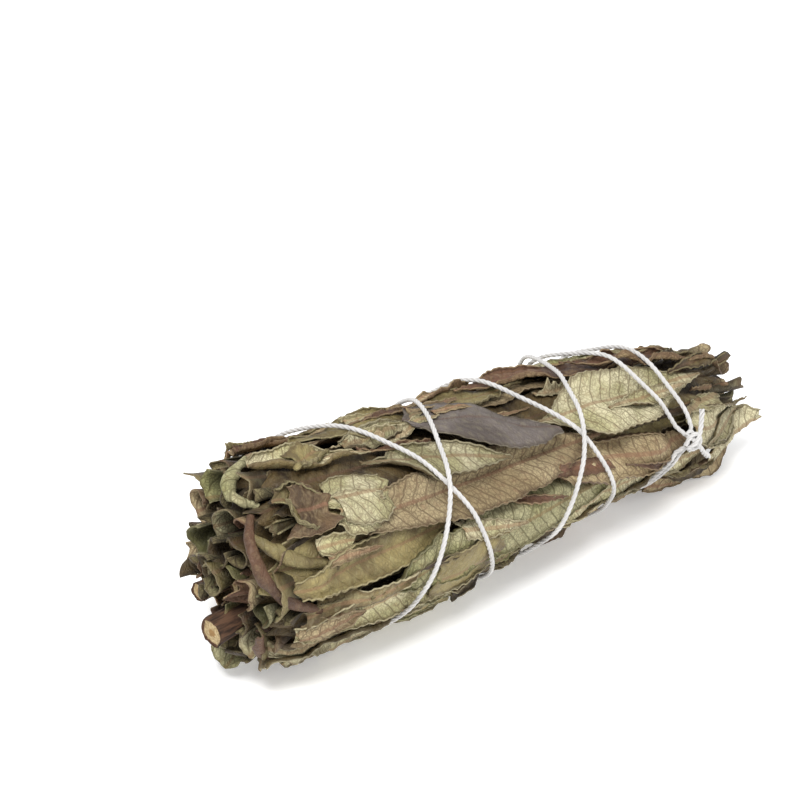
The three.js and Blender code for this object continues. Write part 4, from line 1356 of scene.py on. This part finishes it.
class HERB_OT_stage(bpy.types.Operator):
    """Make the floor, the lights and the camera"""

    bl_idname = "herb.stage"
    bl_label = "Stage"

    def execute(self, context):
        """A pale floor under large soft lamps, seen from above the cut ends' side."""
        sizes = context.scene.herb_stage
        scene = context.scene
        # A white sheet lit a little from below, so the shadows on it stay light.
        floor_mesh = bpy.data.meshes.new("floor")
        floor_mesh.from_pydata([(-9, -9, 0), (9, -9, 0), (9, 9, 0), (-9, 9, 0)], [], [(0, 1, 2, 3)])
        floor = bpy.data.objects.new("floor", floor_mesh)
        scene.collection.objects.link(floor)
        material, tree, node = new_material("pale_floor")
        colour = tuple(sizes.floor_colour) + (1.0,)
        lit_from_below = {"Emission_Color": colour, "Emission_Strength": sizes.floor_glow}
        shader = node("ShaderNodeBsdfPrincipled", Base_Color=colour, Roughness=0.9, **lit_from_below)
        finish_material(tree, shader)
        floor_mesh.materials.append(material)

        world = bpy.data.worlds.new("even_surroundings")
        world.use_nodes = True
        world.node_tree.nodes["Background"].inputs["Color"].default_value = (1, 1, 1, 1)
        world.node_tree.nodes["Background"].inputs["Strength"].default_value = sizes.sky
        scene.world = world
        scene.view_settings.view_transform = "Standard"
        for name, place, size, power in (
            ("key_lamp", (-0.32, -0.22, 0.60), 0.30, sizes.key_power),
            ("fill_lamp", (0.35, -0.55, 0.30), 0.35, sizes.fill_power),
        ):
            data = bpy.data.lights.new(name, "AREA")
            data.shape, data.size, data.energy = "DISK", size, power
            lamp = bpy.data.objects.new(name, data)
            place_and_aim(lamp, Vector(place), Vector(LAMPS_LOOK_AT))

        camera_data = bpy.data.cameras.new("camera")
        camera_data.lens, camera_data.sensor_width = CAMERA_LENS, 36.0
        camera = bpy.data.objects.new("camera", camera_data)
        shift = Vector((OFFSET[0], OFFSET[1], 0.0))
        start, target = ((Vector(place) + shift) * MM for place in (CAMERA_AT, CAMERA_LOOKS_AT))
        place_and_aim(camera, start, target)
        scene.camera = camera
        return {"FINISHED"}


class HERB_PT_bundle(bpy.types.Panel):
    """Sizes, colours and the steps that make the bundle"""

    bl_label = "Herb Bundle"
    bl_idname = "HERB_PT_bundle"
    bl_space_type = "VIEW_3D"
    bl_region_type = "UI"
    bl_category = "Herb Bundle"

    def draw(self, context):
        """List each group of sizes over the steps."""
        for group in (context.scene.herb_leaves, context.scene.herb_twine, context.scene.herb_stage):
            box = self.layout.box()
            for key in type(group).__annotations__:
                box.prop(group, key)
        for step in STEPS:
            self.layout.operator(step.bl_idname)


STEPS = (
    HERB_OT_stage,
    HERB_OT_wrapped_leaves,
    HERB_OT_inner_leaves,
    HERB_OT_strips,
    HERB_OT_curls,
    HERB_OT_rolled,
    HERB_OT_sprigs,
    HERB_OT_twine,
)
CLASSES = (LeafSizes, TwineSizes, StageSizes, *STEPS, HERB_PT_bundle)


def register():
    """Add the classes and their settings to Blender."""
    for kind in CLASSES:
        bpy.utils.register_class(kind)
    bpy.types.Scene.herb_leaves = PointerProperty(type=LeafSizes)
    bpy.types.Scene.herb_twine = PointerProperty(type=TwineSizes)
    bpy.types.Scene.herb_stage = PointerProperty(type=StageSizes)


def unregister():
    """Take them away again."""
    del bpy.types.Scene.herb_stage
    del bpy.types.Scene.herb_twine
    del bpy.types.Scene.herb_leaves
    for kind in reversed(CLASSES):
        bpy.utils.unregister_class(kind)


def main():
    """Make everything, in order."""
    register()
    bpy.ops.herb.stage()
    bpy.ops.herb.wrapped_leaves()
    bpy.ops.herb.inner_leaves()
    bpy.ops.herb.strips()
    bpy.ops.herb.curls()
    bpy.ops.herb.rolled()
    bpy.ops.herb.sprigs()
    bpy.ops.herb.twine()


if __name__ == "__main__":
    main()
